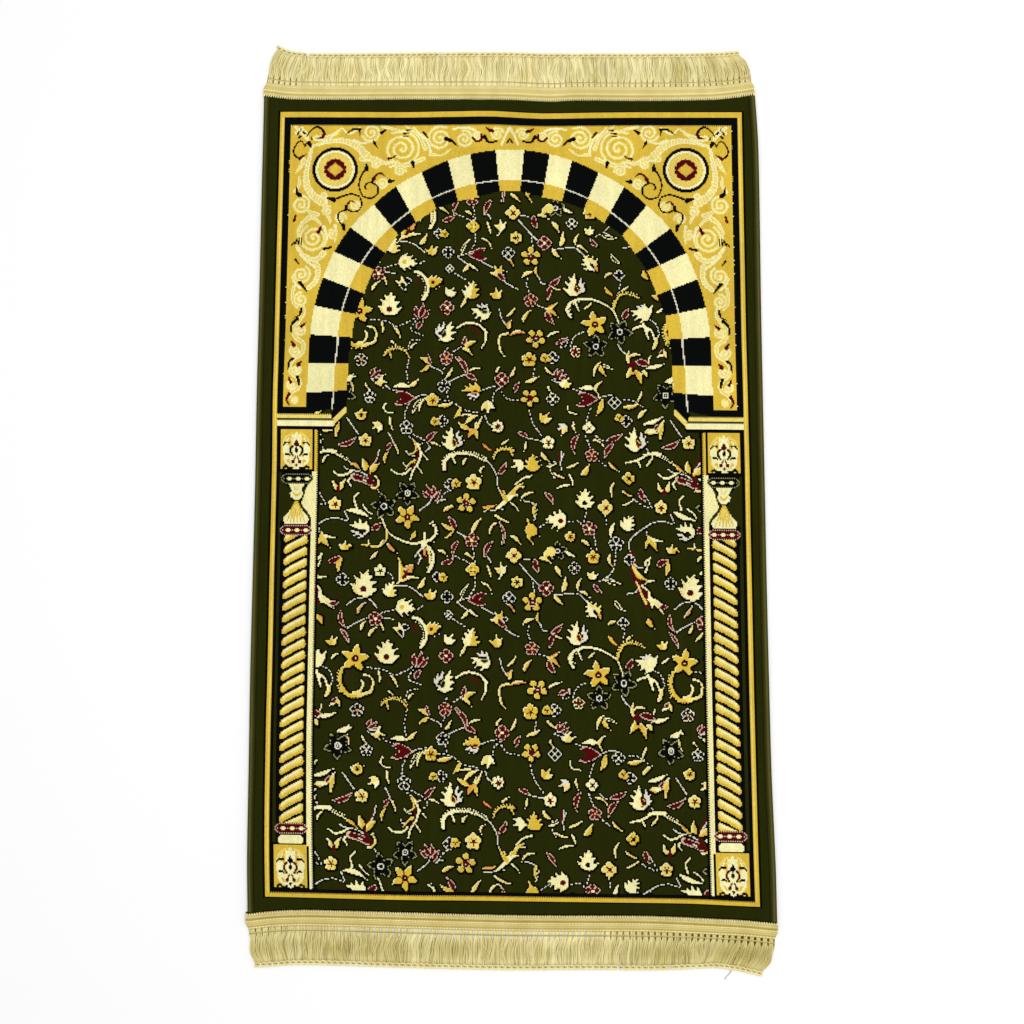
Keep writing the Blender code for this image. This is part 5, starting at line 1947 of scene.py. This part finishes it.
def thread_material(name, dark, light, bump=0.4):
    """Sewing or knitting thread: strands of two shades, with a tone at each place that carries painted
    light and shade as well as the thread's own differences.
    """
    made = Nodes(name, 0.9, sheen=0.02, specular=0.05)
    place = made.add("ShaderNodeTexCoord").outputs["Object"]
    fibre = made.noise(made.scaled(place, (900.0, 900.0, 900.0)), 1.0, 3.0, 0.6)
    patch = made.varied(made.scaled(place, (40.0, 22.0, 40.0)), 2.0, 0.15, 0.85)
    colour = made.blend(patch, dark, light)
    tone = made.add("ShaderNodeVertexColor", layer_name="tone").outputs["Color"]
    toned = made.add("ShaderNodeVectorMath", operation="MULTIPLY")
    made.join(colour, toned.inputs[0])
    made.join(tone, toned.inputs[1])
    made.bump(fibre, bump, 0.0002)
    strands = made.ranged(fibre, 0.3, 0.7, 0.92, 1.07)
    return made.finish(made.times(toned.outputs["Vector"], strands))


# ---------------------------------------------------------------------------------------------
# Meshes
# ---------------------------------------------------------------------------------------------
def add_mesh(name, vertices, polygons, materials):
    """One named object from vertices and faces."""
    mesh = bpy.data.meshes.new(name)
    mesh.from_pydata([tuple(vertex) for vertex in vertices], [], polygons)
    for material in materials:
        mesh.materials.append(material)
    made = bpy.data.objects.new(name, mesh)
    bpy.context.scene.collection.objects.link(made)
    return made


def smooth_faces(made):
    """Soft shading over every face."""
    made.data.polygons.foreach_set("use_smooth", [True] * len(made.data.polygons))


SHADE_DEEPENING = (1.0, 1.15, 2.0)   # thread in shade loses its blue first


class Bundle:
    """Tubes and strips that make one piece, with a tone for each vertex."""

    def __init__(self):
        self.vertices, self.polygons, self.tones = [], [], []

    def ring_of(self, points, tone):
        """One ring's vertices, with one tone or a tone each."""
        start = len(self.vertices)
        self.vertices += points
        self.tones += [tone] * len(points) if isinstance(tone, float) else list(tone)
        return list(range(start, start + len(points)))

    def skin(self, rings):
        """Faces from each ring to the next, with both ends closed."""
        for ring, following in zip(rings, rings[1:]):
            for i in range(len(ring)):
                j = (i + 1) % len(ring)
                self.polygons.append((ring[i], following[i], following[j], ring[j]))
        self.polygons += [tuple(rings[0]), tuple(rings[-1][::-1])]

    def tube(self, path, radii, sides, tone, flat=1.0):
        """A tube through laid points. flat squashes it from above."""
        path = [Vector(point) for point in path]
        rings = []
        for i, point in enumerate(path):
            before, after = path[max(i - 1, 0)], path[min(i + 1, len(path) - 1)]
            heading = (after - before).normalized()
            side = heading.cross(Vector((0, 0, 1)))
            side = side.normalized() if side.length > 1e-6 else Vector((1, 0, 0))
            rise = side.cross(heading)
            radius = radii[i] if hasattr(radii, "__len__") else radii
            points = []
            for step in range(sides):
                angle = 2 * pi * (step + 0.5) / sides
                out = side * cos(angle) * radius + rise * sin(angle) * radius * flat
                points.append(tuple(point + out))
            shade = tone[i] if hasattr(tone, "__len__") else tone
            rings.append(self.ring_of(points, float(shade)))
        self.skin(rings)

    def make(self, name, material):
        """The piece itself, on the rug's body and in its material slot."""
        made = add_mesh(name, self.vertices, self.polygons, [material])
        layer = made.data.color_attributes.new("tone", "FLOAT_COLOR", "POINT")
        values = np.ones((len(self.tones), 4), np.float32)
        tones = np.array(self.tones)
        for channel, deepening in enumerate(SHADE_DEEPENING):
            values[:, channel] = np.where(tones < 1.0, tones**deepening, tones)
        layer.data.foreach_set("color", values.ravel())
        builder = bmesh.new()
        builder.from_mesh(made.data)
        bmesh.ops.recalc_face_normals(builder, faces=builder.faces)
        builder.to_mesh(made.data)
        builder.free()
        smooth_faces(made)
        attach(made, "root")
        return made


# The overlocked edge's section: share of its width from the outer side in, height, tone. The tone is a
# painted highlight along the crest and painted shade down both sides.
BINDING_SECTION = (
    (0.10, 0.0002, 0.30),
    (0.00, 0.0014, 0.35),
    (0.01, 0.0026, 0.50),
    (0.07, 0.0038, 0.75),
    (0.20, 0.0049, 1.10),
    (0.34, 0.0054, 1.80),
    (0.48, 0.0056, 1.70),
    (0.62, 0.0055, 0.85),
    (0.80, 0.0052, 0.60),
    (0.93, 0.0048, 0.50),
    (1.00, 0.0042, 0.35),
    (1.30, 0.0028, 0.25),
    (1.30, 0.0002, 0.25),
)
BINDING_OUT = {-1: 0.0005, 1: 0.0010}   # the wrapped thread stands out by so much
BINDING_STITCH = 0.0024
STITCH_RAISE = (0.0, 0.00016, 0.00010)  # how each stitch rises and falls as it goes along


def binding_piece(name, side, node, material):
    """The overlocked edge down one side: thread wrapped round it, stitch by stitch."""
    bundle = Bundle()
    count = int(2 * END_LINE / BINDING_STITCH) * len(STITCH_RAISE)
    rings = []
    for step in range(count + 1):
        along = step / count
        points, tones = [], []
        for share, z, tone in BINDING_SECTION:
            raised = STITCH_RAISE[(step + round(share * 2)) % len(STITCH_RAISE)]
            x = side_x(side, mix(-END_LINE, END_LINE, along), share * BINDING_WIDTH)
            x += (1 - share) * BINDING_OUT[side] * side
            bottom, top = (pile_y(x, end, -TAPE_CLEARANCE) for end in (ENDS["bottom"], ENDS["top"]))
            lift = raised if z > 0.001 else 0.0
            points.append(lie(x, mix(bottom, top, along), z + lift))
            # Painted highlight: the highest part of each stitch is a little lighter.
            tones.append(tone * (1.10 if raised == max(STITCH_RAISE) else 1.0))
        rings.append(bundle.ring_of(points, tones))
    bundle.skin(rings)
    made = bundle.make(name, material)
    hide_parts(node)
    return made


# The tape's section from the pile outwards at each end: distance out, height over its flat, tone. The tone
# is painted shade where it is near black at the inner edge under the teeth and where it is darker in the
# grooves between the ribs.
TAPE_SECTIONS = {
    1: (
        (-0.0012, -0.0020, 0.02),
        (0.0002, -0.0006, 0.02),
        (0.0018, 0.0000, 0.03),
        (0.0024, 0.0003, 0.95),
        (0.0034, 0.0003, 0.97),
        (0.0046, 0.0002, 0.88),
        (0.0053, -0.0003, 0.66),
        (0.0066, -0.0003, 0.62),
        (0.0074, 0.0002, 0.86),
        (0.0092, 0.0003, 0.98),
        (0.0099, -0.0001, 0.78),
        (0.0107, 0.0002, 0.86),
        (0.0115, -0.0001, 0.76),
        (0.0124, 0.0002, 0.86),
        (0.0132, -0.0001, 0.76),
        (0.0142, 0.0002, 0.84),
        (0.0150, -0.0001, 0.74),
        (0.0160, 0.0002, 0.88),
        (0.0172, 0.0001, 0.94),
        (0.0180, 0.0001, 0.80),
        (0.0192, 0.0002, 0.94),
        (0.0202, 0.0000, 0.80),
    ),
    -1: (
        (-0.0012, -0.0020, 0.02),
        (0.0004, -0.0006, 0.02),
        (0.0014, 0.0000, 0.03),
        (0.0020, 0.0003, 0.82),
        (0.0038, 0.0003, 0.82),
        (0.0048, 0.0003, 0.98),
        (0.0062, 0.0002, 0.92),
        (0.0070, -0.0002, 0.66),
        (0.0078, -0.0004, 0.50),
        (0.0094, -0.0004, 0.50),
        (0.0100, 0.0003, 0.92),
        (0.0110, 0.0003, 0.96),
        (0.0116, -0.0001, 0.64),
        (0.0124, 0.0002, 0.92),
        (0.0132, 0.0002, 0.86),
        (0.0140, -0.0001, 0.64),
        (0.0148, 0.0002, 0.82),
        (0.0160, 0.0001, 0.76),
        (0.0170, -0.0002, 0.56),
        (0.0180, 0.0001, 0.74),
        (0.0192, 0.0001, 0.82),
        (0.0202, 0.0000, 0.70),
    ),
}
TAPE_STEPS = 436
TAPE_RIPPLE = 0.00010
TEETH_REACH = {1: -0.0012, -1: 0.0003}   # where the teeth start at each end
TEETH = 219
TOOTH_SLANT = 0.45           # share of the width for each metre out
# A tooth from the pile outwards: distance out, height, radius, tone
TOOTH_SHAPE = (
    (0.0000, PILE_TOP, 0.0005, 1.30),
    (0.0008, PILE_TOP + 0.0004, 0.0008, 1.26),
    (0.0020, PILE_TOP + 0.0004, 0.0009, 1.10),
    (0.0032, TAPE_TOP + 0.0007, 0.0011, 0.92),
    (0.0050, TAPE_TOP + 0.0006, 0.0011, 0.84),
)
DASH_ROWS = {1: (0.0084,), -1: (0.0104, 0.0186)}   # the sewn rows along the tape at each end
DASHES = 168                 # stitches in a sewn row
# A stitch of a sewn row: place along its pitch, distance out, height over the tape, radius
DASH_SHAPE = (
    (0.14, 0.0000, 0.0002, 0.0005),
    (0.39, 0.0003, 0.0008, 0.0009),
    (0.64, 0.0000, 0.0008, 0.0009),
    (0.89, 0.0003, 0.0002, 0.0005),
)
UNDER = 0.0002               # the underside's height over the floor


def tape_height(out):
    """The tape's upper surface: flat over the tongue of base, then down to the strands."""
    if out <= TAPE_FLAT:
        return TAPE_TOP
    share = min(1.0, (out - TAPE_FLAT) / (TAPE_DEPTH - TAPE_FLAT))
    return mix(TAPE_TOP, TAPE_RIM, ease(share) * 0.7 + share * 0.3)


def end_tone(end):
    """The bottom end lies in a duller light than the top."""
    return 1.0 if end["side"] > 0 else 0.88


SWELL_SPAN = 0.06            # the corners' swelling dies away over this share of the width

# How far each free side of the trims lies out beyond the straight line: along, distance
CORNER_SWELL = {
    (1, -1): ((0.0, 0.0007), (0.4, 0.0006), (0.65, 0.0025), (0.85, 0.0052), (1.0, 0.0050)),
    (1, 1): ((0.0, 0.0), (0.3, 0.0), (0.45, 0.0014), (0.65, 0.0038), (0.78, 0.0058),
             (0.9, 0.0042), (1.0, 0.0022)),
    (-1, -1): ((0.0, 0.0024), (0.25, 0.0019), (0.45, 0.0021), (0.6, 0.0032), (0.75, 0.0044),
               (1.0, 0.0036)),
    (-1, 1): ((0.0, 0.0010), (0.5, 0.0010), (0.62, 0.0036), (0.72, 0.0052), (0.85, 0.0040),
              (1.0, 0.0016)),
}


def at_share(rows, share, column=1):
    """A table's column at a share, between its rows."""
    return float(np.interp(share, [row[0] for row in rows], [row[column] for row in rows]))


def swell(end, share, along):
    """The sideways shift of a point of the trims near a corner."""
    hand = -1 if share < 0.5 else 1
    near_corner = max(0.0, 1 - min(share, 1 - share) / SWELL_SPAN)
    return hand * near_corner * at_share(CORNER_SWELL[end["side"], hand], along)


def tape_piece(name, end, node, material):
    """The sewn tape: a ribbed band with overlocking stitches that lap on to the pile."""
    bundle = Bundle()
    section = TAPE_SECTIONS[end["side"]]
    below = ((section[-1][0], UNDER), (TAPE_STEP + GAP, UNDER), (TAPE_STEP, BASE_TOP + GAP),
             (section[0][0], BASE_TOP + GAP))
    rings = []
    for step in range(TAPE_STEPS + 1):
        share = step / TAPE_STEPS
        aside = swell(end, share, 0.0)
        at_corner = min(step, TAPE_STEPS - step) < TAPE_STEPS / LOCKS
        points, tones = [], []
        for row, (out, over, tone) in enumerate(section):
            odd = (step + row) % 2
            x, y = tape_point(share, end, out)
            points.append(lie(x + aside, y, tape_height(out) + over + TAPE_RIPPLE * odd))
            # Painted highlight: the raised points of the ripple are a little lighter.
            tones.append(tone * (0.95 + 0.07 * odd))
        for out, z in below:
            x, y = tape_point(share, end, out)
            points.append(lie(x + aside, y, UNDER if at_corner else z))
            tones.append(0.7)
        rings.append(bundle.ring_of(points, tones))
    bundle.skin(rings)
    for tooth in range(TEETH):
        share = (tooth + 0.5) / TEETH
        aside = swell(end, share, 0.0)
        reach = TEETH_REACH[end["side"]] + RANDOM.uniform(-0.0002, 0.0003)
        light = RANDOM.uniform(1.00, 1.14) * end_tone(end)
        path = []
        for out, z, _, _ in TOOTH_SHAPE:
            x, y = tape_point(share + TOOTH_SLANT * (reach + out), end, reach + out)
            path.append(lie(x + aside, y, z))
        bundle.tube(path, [row[2] for row in TOOTH_SHAPE], 6,
                    [light * row[3] for row in TOOTH_SHAPE], 0.6)
    for row in DASH_ROWS[end["side"]]:
        for stitch in range(DASHES):
            path = []
            for place, out, over, _ in DASH_SHAPE:
                share = (stitch + place) / DASHES
                x, y = tape_point(share, end, row + out)
                path.append(lie(x + swell(end, share, 0.0), y, tape_height(row) + over))
            bundle.tube(path, [row[3] for row in DASH_SHAPE], 5, 1.30 * end_tone(end))
    made = bundle.make(name, material)
    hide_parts(node)
    return made


YARNS_EACH = 8               # yarns to each stitch of the end chain
YARN_RADIUS = 0.00054
YARN_STATIONS = (0.0, 0.05, 0.11, 0.17, 0.24, 0.33, 0.43, 0.54, 0.66, 0.78, 0.9, 1.0)
HOLES_END = 0.18             # the yarns are drawn together up to here, which leaves the holes
HOLES_FADE = 0.13            # and spread out again over this much
SPREAD = 1.02                # a bundle's width in its pitch where it lies spread out

# How the openwork shows along each end: share of the length, how far a bundle is drawn in,
# and the tone of the strip behind the holes, where 0 shows the floor. A dark strip is painted shade
# in the holes, and a pale one is painted light in place of the lit floor.
HOLES = {
    1: (
        (0.00, 0.70, 0.28),
        (0.05, 0.74, 0.32),
        (0.08, 0.78, 1.16),
        (0.55, 0.76, 1.12),
        (0.62, 0.76, 0.60),
        (0.90, 0.76, 0.50),
        (0.94, 0.78, 0.36),
        (1.00, 0.72, 0.32),
    ),
    -1: (
        (0.00, 0.76, 0.32),
        (0.055, 0.86, 0.45),
        (0.06, 0.86, 0.0),
        (0.16, 0.84, 0.0),
        (0.22, 0.66, 0.0),
        (0.68, 0.60, 0.0),
        (0.685, 0.68, 0.62),
        (0.76, 0.66, 0.36),
        (0.86, 0.56, 0.20),
        (1.00, 0.58, 0.16),
    ),
}

# How light the skirt lies along each end: share of the length, tone
SKIRT_LIGHT = {
    1: ((0.0, 1.00), (0.1, 1.12), (0.5, 1.10), (0.8, 1.04), (1.0, 0.96)),
    -1: ((0.0, 0.86), (0.2, 0.85), (0.45, 0.92), (0.64, 1.00), (0.78, 0.82), (1.0, 0.76)),
}

# How the yarns sway sideways: waves along the end, swing, start, turn on the way out
SWAYS = {
    1: ((2.6, 0.0018, 0.4, 1.0), (9.0, 0.0017, 2.0, 3.2), (23.0, 0.0012, 1.1, -3.6),
        (57.0, 0.0007, 5.0, 4.0)),
    -1: ((0.0, -0.0026, 1.57, 0.0), (3.4, 0.0014, 3.4, 0.4), (9.0, 0.0013, 0.5, 3.0),
         (19.0, 0.0010, 4.1, -3.2), (49.0, 0.0006, 2.0, 4.0)),
}


def gathered(end, share, along):
    """How much of its pitch a bundle takes up at a share of its length."""
    drawn = at_share(HOLES[end["side"]], share)
    return mix(drawn, SPREAD, ease(clamp((along - HOLES_END) / HOLES_FADE)))


def sway(end, share, along):
    """How far the yarns lie to one side of the straight way out."""
    total = 0.0
    for waves, swing, start, turn in SWAYS[end["side"]]:
        total += swing * sin(2 * pi * waves * share + start + turn * along)
    held = min(1.0, 14 * min(share, 1 - share))
    return total * held * ease(clamp((along - 0.14) / 0.5))


def skirt_tone(end, share, along):
    """Painted light and shade on the skirt's yarns: lighter and darker across the clumps, darker midway
    along the top skirt, with broad patches of painted shade on the bottom skirt between the holes and the
    chain.
    """
    clump_shading = (sin(2 * pi * share * 5.3 + 1.0) + 0.8 * sin(2 * pi * share * 11.7 + 4.0 * along)
            + 0.6 * sin(2 * pi * share * 23.1 - 3.0 * along + 2.0)) / 2.4
    light = at_share(SKIRT_LIGHT[end["side"]], share)
    if end["side"] > 0:
        # Painted shade: the top skirt is a little darker midway along its length.
        return light * (1.0 + 0.05 * clump_shading - 0.05 * sin(pi * along))
    # Painted shade in broad patches on the bottom skirt, away from the tape and the chain.
    low = max(0.0, sin(pi * clamp((along - 0.30) / 0.62)))
    return light * (1.06 + 0.05 * clump_shading - (0.12 + 0.09 * clump_shading) * low)


def skirt_point(end, share, along):
    """A point of the drawn skirt, with its swelling corners."""
    x, y = strand_point(share, end, along)
    return x + swell(end, share, along), y + end["side"] * chain_out(end, share) * along


def yarn_path(end, lock, place, bow, wander, phase, height):
    """One yarn's points, from the tape to the chain."""
    path = []
    middle = (lock + 0.5) / LOCKS
    for along in YARN_STATIONS:
        share = middle + (place - 0.5) * gathered(end, middle, along) / LOCKS
        share = min(max(share, 0.0008), 0.9992)
        loose = sin(pi * along)**0.7 if 0 < along < 1 else 0.0
        rise = clamp((along - 0.14) / 0.15)
        z = mix(0.0009, height, rise) + 0.0003 * loose * sin(2 * pi * along * 1.3 + 2 * phase)
        x, y = skirt_point(end, share, along)
        x += sway(end, share, along) + bow * loose
        x += wander * loose * sin(2 * pi * along * 1.2 + phase)
        path.append(lie(x, y, max(z, YARN_RADIUS + 0.0001)))
    return path


BACKING_STATIONS = (0.0, 0.06, 0.12, 0.18, 0.24, 0.28, 0.33, 0.45, 0.6, 0.75, 0.9, 1.0)
BACKING_HOLES = 0.25         # up to here the strip lies lower, behind the holes
# The strip's section: side of the bundle, height, height behind the holes
BACKING_SECTION = (
    (-0.5, 0.0008, 0.0004),
    (-0.5, 0.0001, 0.0001),
    (0.5, 0.0001, 0.0001),
    (0.5, 0.0008, 0.0004),
)


def backing(bundle, end, lock):
    """The yarns underneath one bundle, as one thin strip that closes the gaps above it, darkened as
    painted shade between the bundles; behind the holes its tone comes from HOLES, dark as painted shade
    and pale as painted light.
    """
    rings = []
    middle = (lock + 0.5) / LOCKS
    painted_hole_tone = at_share(HOLES[end["side"]], middle, 2)
    for along in BACKING_STATIONS:
        width = gathered(end, middle, along)
        # Painted shade: the strip is darker than the yarns above it.
        tone = 0.62 * skirt_tone(end, middle, along)
        if painted_hole_tone > 0.12 and along < BACKING_HOLES:
            width, tone = SPREAD, painted_hole_tone
        points = []
        for place, z, low_z in BACKING_SECTION:
            share = clamp(middle + place * width / LOCKS)
            x, y = skirt_point(end, share, along)
            points.append(lie(x + sway(end, share, along), y, z if along > BACKING_HOLES else low_z))
        rings.append(bundle.ring_of(points, float(tone)))
    bundle.skin(rings)


# The threads that cross the openwork: place along the yarns, radius, tone
CROSSBARS = (
    (0.118, 0.0005, 0.92),
    (0.145, 0.0005, 0.60),
)


def yarns_piece(name, end, node, material):
    """The skirt: yarns side by side, drawn together in bundles along the openwork row."""
    bundle = Bundle()
    for lock in range(LOCKS):
        backing(bundle, end, lock)
        bow = RANDOM.uniform(-0.0005, 0.0005)
        clump = RANDOM.uniform(0.95, 1.04)
        for index in range(YARNS_EACH):
            place = (index + 0.5 + RANDOM.uniform(-0.25, 0.25)) / YARNS_EACH
            phase = RANDOM.uniform(0.0, 2 * pi)
            wander = RANDOM.uniform(0.0001, 0.0004) + 0.0012 * (RANDOM.random() < 0.07)
            height = RANDOM.uniform(0.0011, 0.0018)
            path = yarn_path(end, lock, place, bow, wander, phase, height)
            tone = clump * RANDOM.uniform(0.90, 1.08) * (0.80 if RANDOM.random() < 0.12 else 1.0)
            share = (lock + place) / LOCKS
            tones = [tone * skirt_tone(end, share, along) for along in YARN_STATIONS]
            bundle.tube(path, YARN_RADIUS * RANDOM.uniform(0.85, 1.15), 6, tones, 0.8)
    for along, radius, tone in CROSSBARS:
        path = []
        for step in range(4 * LOCKS + 1):
            x, y = skirt_point(end, step / (4 * LOCKS), along)
            path.append(lie(x, y, 0.0014 + 0.0003 * (step % 4 == 2)))
        bundle.tube(path, radius, 5, tone * end_tone(end))
    made = bundle.make(name, material)
    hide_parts(node)
    return made


# The chain's cords: place across it, how far it swings, start of its swing, radius, tone
CHAIN_CORDS = (
    (0.74, 0.0005, 0.00, 0.0010, 1.08),
    (0.66, 0.0004, 0.50, 0.0009, 1.00),
    (0.08, 0.0003, 0.25, 0.0008, 1.06),
)
CHAIN_STATIONS = 8           # points of a cord for each stitch
CHAIN_OUT = {1: 0.0026, -1: 0.0012}   # the stitches bulge out by so much at the top and the bottom
# The strip under the cords: place across it, height
CHAIN_STRIP = ((0.04, 0.0013), (0.04, 0.0002), (0.74, 0.0002), (0.74, 0.0013))
# The dark eye in each stitch, a small dark tube as painted shade: place along the stitch, radius
CHAIN_EYE = ((-0.10, 0.0003), (-0.04, 0.0006), (0.04, 0.0006), (0.10, 0.0003))
# The thread that crosses from stitch to stitch: place across, slant along, height
CHAIN_CROSSING = ((0.08, -0.06, 0.0020), (0.40, 0.06, 0.0023), (0.70, -0.06, 0.0022))

# Where the chain is broken at each end: from one share of its length to another
CHAIN_BREAKS = {
    1: ((0.068, 0.078), (0.361, 0.365)),
    -1: ((0.703, 0.707), (0.803, 0.807), (0.852, 0.857)),
}
CHAIN_CORNERS = {1: (0.0020, 0.0), -1: (0.0, 0.0034)}   # the corners' further reach, left and right


def chain_out(end, share):
    """How far the chain lies out beyond the straight outline."""
    left, right = CHAIN_CORNERS[end["side"]]
    return (CHAIN_OUT[end["side"]] + left * max(0.0, 1 - share / 0.03)
            + right * max(0.0, 1 - (1 - share) / 0.05))


def chain_place(share, end, out, z):
    """A point of the drawn chain."""
    x, y = chain_point(share, end, out)
    return lie(x + swell(end, share, 1.0), y + end["side"] * chain_out(end, share), z)


def chain_piece(name, end, node, material):
    """The chain of stitches that ties the yarns' ends, with a small dark tube in the eye of each stitch as
    painted shade.
    """
    bundle = Bundle()
    total = LOCKS * CHAIN_STATIONS
    breaks = CHAIN_BREAKS[end["side"]]
    starts = [0.0] + [broken[1] for broken in breaks]
    stops = [broken[0] for broken in breaks] + [1.0]
    for start_share, stop_share in zip(starts, stops):
        steps = range(round(start_share * total), round(stop_share * total) + 1)
        for across, swing, start, radius, tone in CHAIN_CORDS:
            path, tones = [], []
            for step in steps:
                angle = 2 * pi * (step / CHAIN_STATIONS + start)
                out = CHAIN_DEPTH * across + sin(angle) * swing
                path.append(chain_place(step / total, end, out, 0.0017 + 0.0003 * cos(angle)))
                # Painted light and shade: a cord is lighter where it rises and darker where it dips.
                tones.append(tone * (0.93 + 0.09 * cos(angle)))
            bundle.tube(path, radius, 6, tones)
        # The strip under the cords is darker, as painted shade.
        bundle.skin([bundle.ring_of([chain_place(step / total, end, CHAIN_DEPTH * across, z)
                                     for across, z in CHAIN_STRIP], 0.80) for step in steps])
    for step in range(LOCKS):
        share = (step + 0.5) / LOCKS
        if any(broken[0] < share < broken[1] for broken in breaks):
            continue
        path = [chain_place(share + offset / LOCKS, end, CHAIN_DEPTH * 0.40, 0.0022)
                for offset, _ in CHAIN_EYE]
        bundle.tube(path, [row[1] for row in CHAIN_EYE], 6, 0.28, 0.5)
        if share < 0.99:
            path = [chain_place(share + (0.5 + slant) / LOCKS, end, CHAIN_DEPTH * across, z)
                    for across, slant, z in CHAIN_CROSSING]
            bundle.tube(path, 0.0009, 5, float(RANDOM.uniform(0.98, 1.14)), 0.8)
    made = bundle.make(name, material)
    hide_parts(node)
    return made


LOOSE_THREAD = ((592, 1130.5), (590, 1134), (586, 1138), (583, 1142))   # its way on the chart


def loose_thread(material):
    """A stray end of thread that lies off the chain near the right of the foot."""
    bundle = Bundle()
    path = [lie(*chart_to_plain(x, y), 0.0007) for x, y in LOOSE_THREAD]
    bundle.tube(path, 0.00035, 5, 0.35)
    return bundle.make("loose_thread", material)


# ---------------------------------------------------------------------------------------------
# The pieces
# ---------------------------------------------------------------------------------------------
BINDING_THREAD = thread_material("binding_thread", (56, 56, 20), (66, 64, 26))
TAPE_THREAD = thread_material("tape_thread", (222, 206, 140), (240, 228, 168))
FRINGE_YARN = thread_material("fringe_yarn", (226, 211, 146), (243, 234, 182), bump=0.3)

cloth = cloth_piece()
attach(cloth, "root")
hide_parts("rug_pile")
trims = [
    binding_piece("overlock_left", -1, "binding_left", BINDING_THREAD),
    binding_piece("overlock_right", 1, "binding_right", BINDING_THREAD),
]
for name, end in ENDS.items():
    trims.append(tape_piece(f"tape_{name}", end, f"fringe_{name}", TAPE_THREAD))
    trims.append(yarns_piece(f"yarns_{name}", end, f"fringe_{name}", FRINGE_YARN))
    trims.append(chain_piece(f"stitches_{name}", end, f"chain_{name}", FRINGE_YARN))
trims.append(loose_thread(FRINGE_YARN))

# ---------------------------------------------------------------------------------------------
# Floor, light and camera
# ---------------------------------------------------------------------------------------------
CAMERA_PLACE = (0.041, -0.2476, 1.8228)
CAMERA_TURN = (7.005, 1.16, 0.105)
FLOOR_HALF = 6.0
FLOOR_HEIGHT = -0.0004


def add_stage():
    """A plain pale floor just under the rug."""
    corners = [(x * FLOOR_HALF, y * FLOOR_HALF, FLOOR_HEIGHT)
               for x, y in ((-1, -1), (1, -1), (1, 1), (-1, 1))]
    made = Nodes("pale_floor", 0.9, specular=0.0)
    made.shader.inputs["Base Color"].default_value = (0.93, 0.93, 0.93, 1.0)
    add_mesh("floor", corners, [(0, 1, 2, 3)], [made.material])


def add_area(name, place, size, power):
    """A soft square light that looks at the middle of the rug."""
    data = bpy.data.lights.new(name, "AREA")
    data.size = size
    data.energy = power
    light = bpy.data.objects.new(name, data)
    light.location = place
    light.rotation_euler = (-Vector(place)).to_track_quat("-Z", "Y").to_euler()
    bpy.context.scene.collection.objects.link(light)


def add_light():
    """Even light from all round, with a broad lamp above."""
    world = bpy.data.worlds.new("studio")
    world.use_nodes = True
    backdrop = world.node_tree.nodes["Background"]
    backdrop.inputs["Color"].default_value = (1.0, 1.0, 1.0, 1.0)
    backdrop.inputs["Strength"].default_value = 0.78
    bpy.context.scene.world = world
    add_area("key", (0.6, 0.3, 2.8), 2.0, 34.0)
    bpy.context.scene.view_settings.view_transform = "Standard"


def add_camera():
    """The photograph's viewpoint."""
    data = bpy.data.cameras.new("camera")
    data.lens = 50.0
    data.sensor_width = 36.0
    data.clip_start = 0.01
    made = bpy.data.objects.new("camera", data)
    made.location = (CAMERA_PLACE[0] + SHIFT[0], CAMERA_PLACE[1] + SHIFT[1], CAMERA_PLACE[2])
    made.rotation_euler = [radians(angle) for angle in CAMERA_TURN]
    bpy.context.scene.collection.objects.link(made)
    bpy.context.scene.camera = made


add_stage()
add_light()
add_camera()
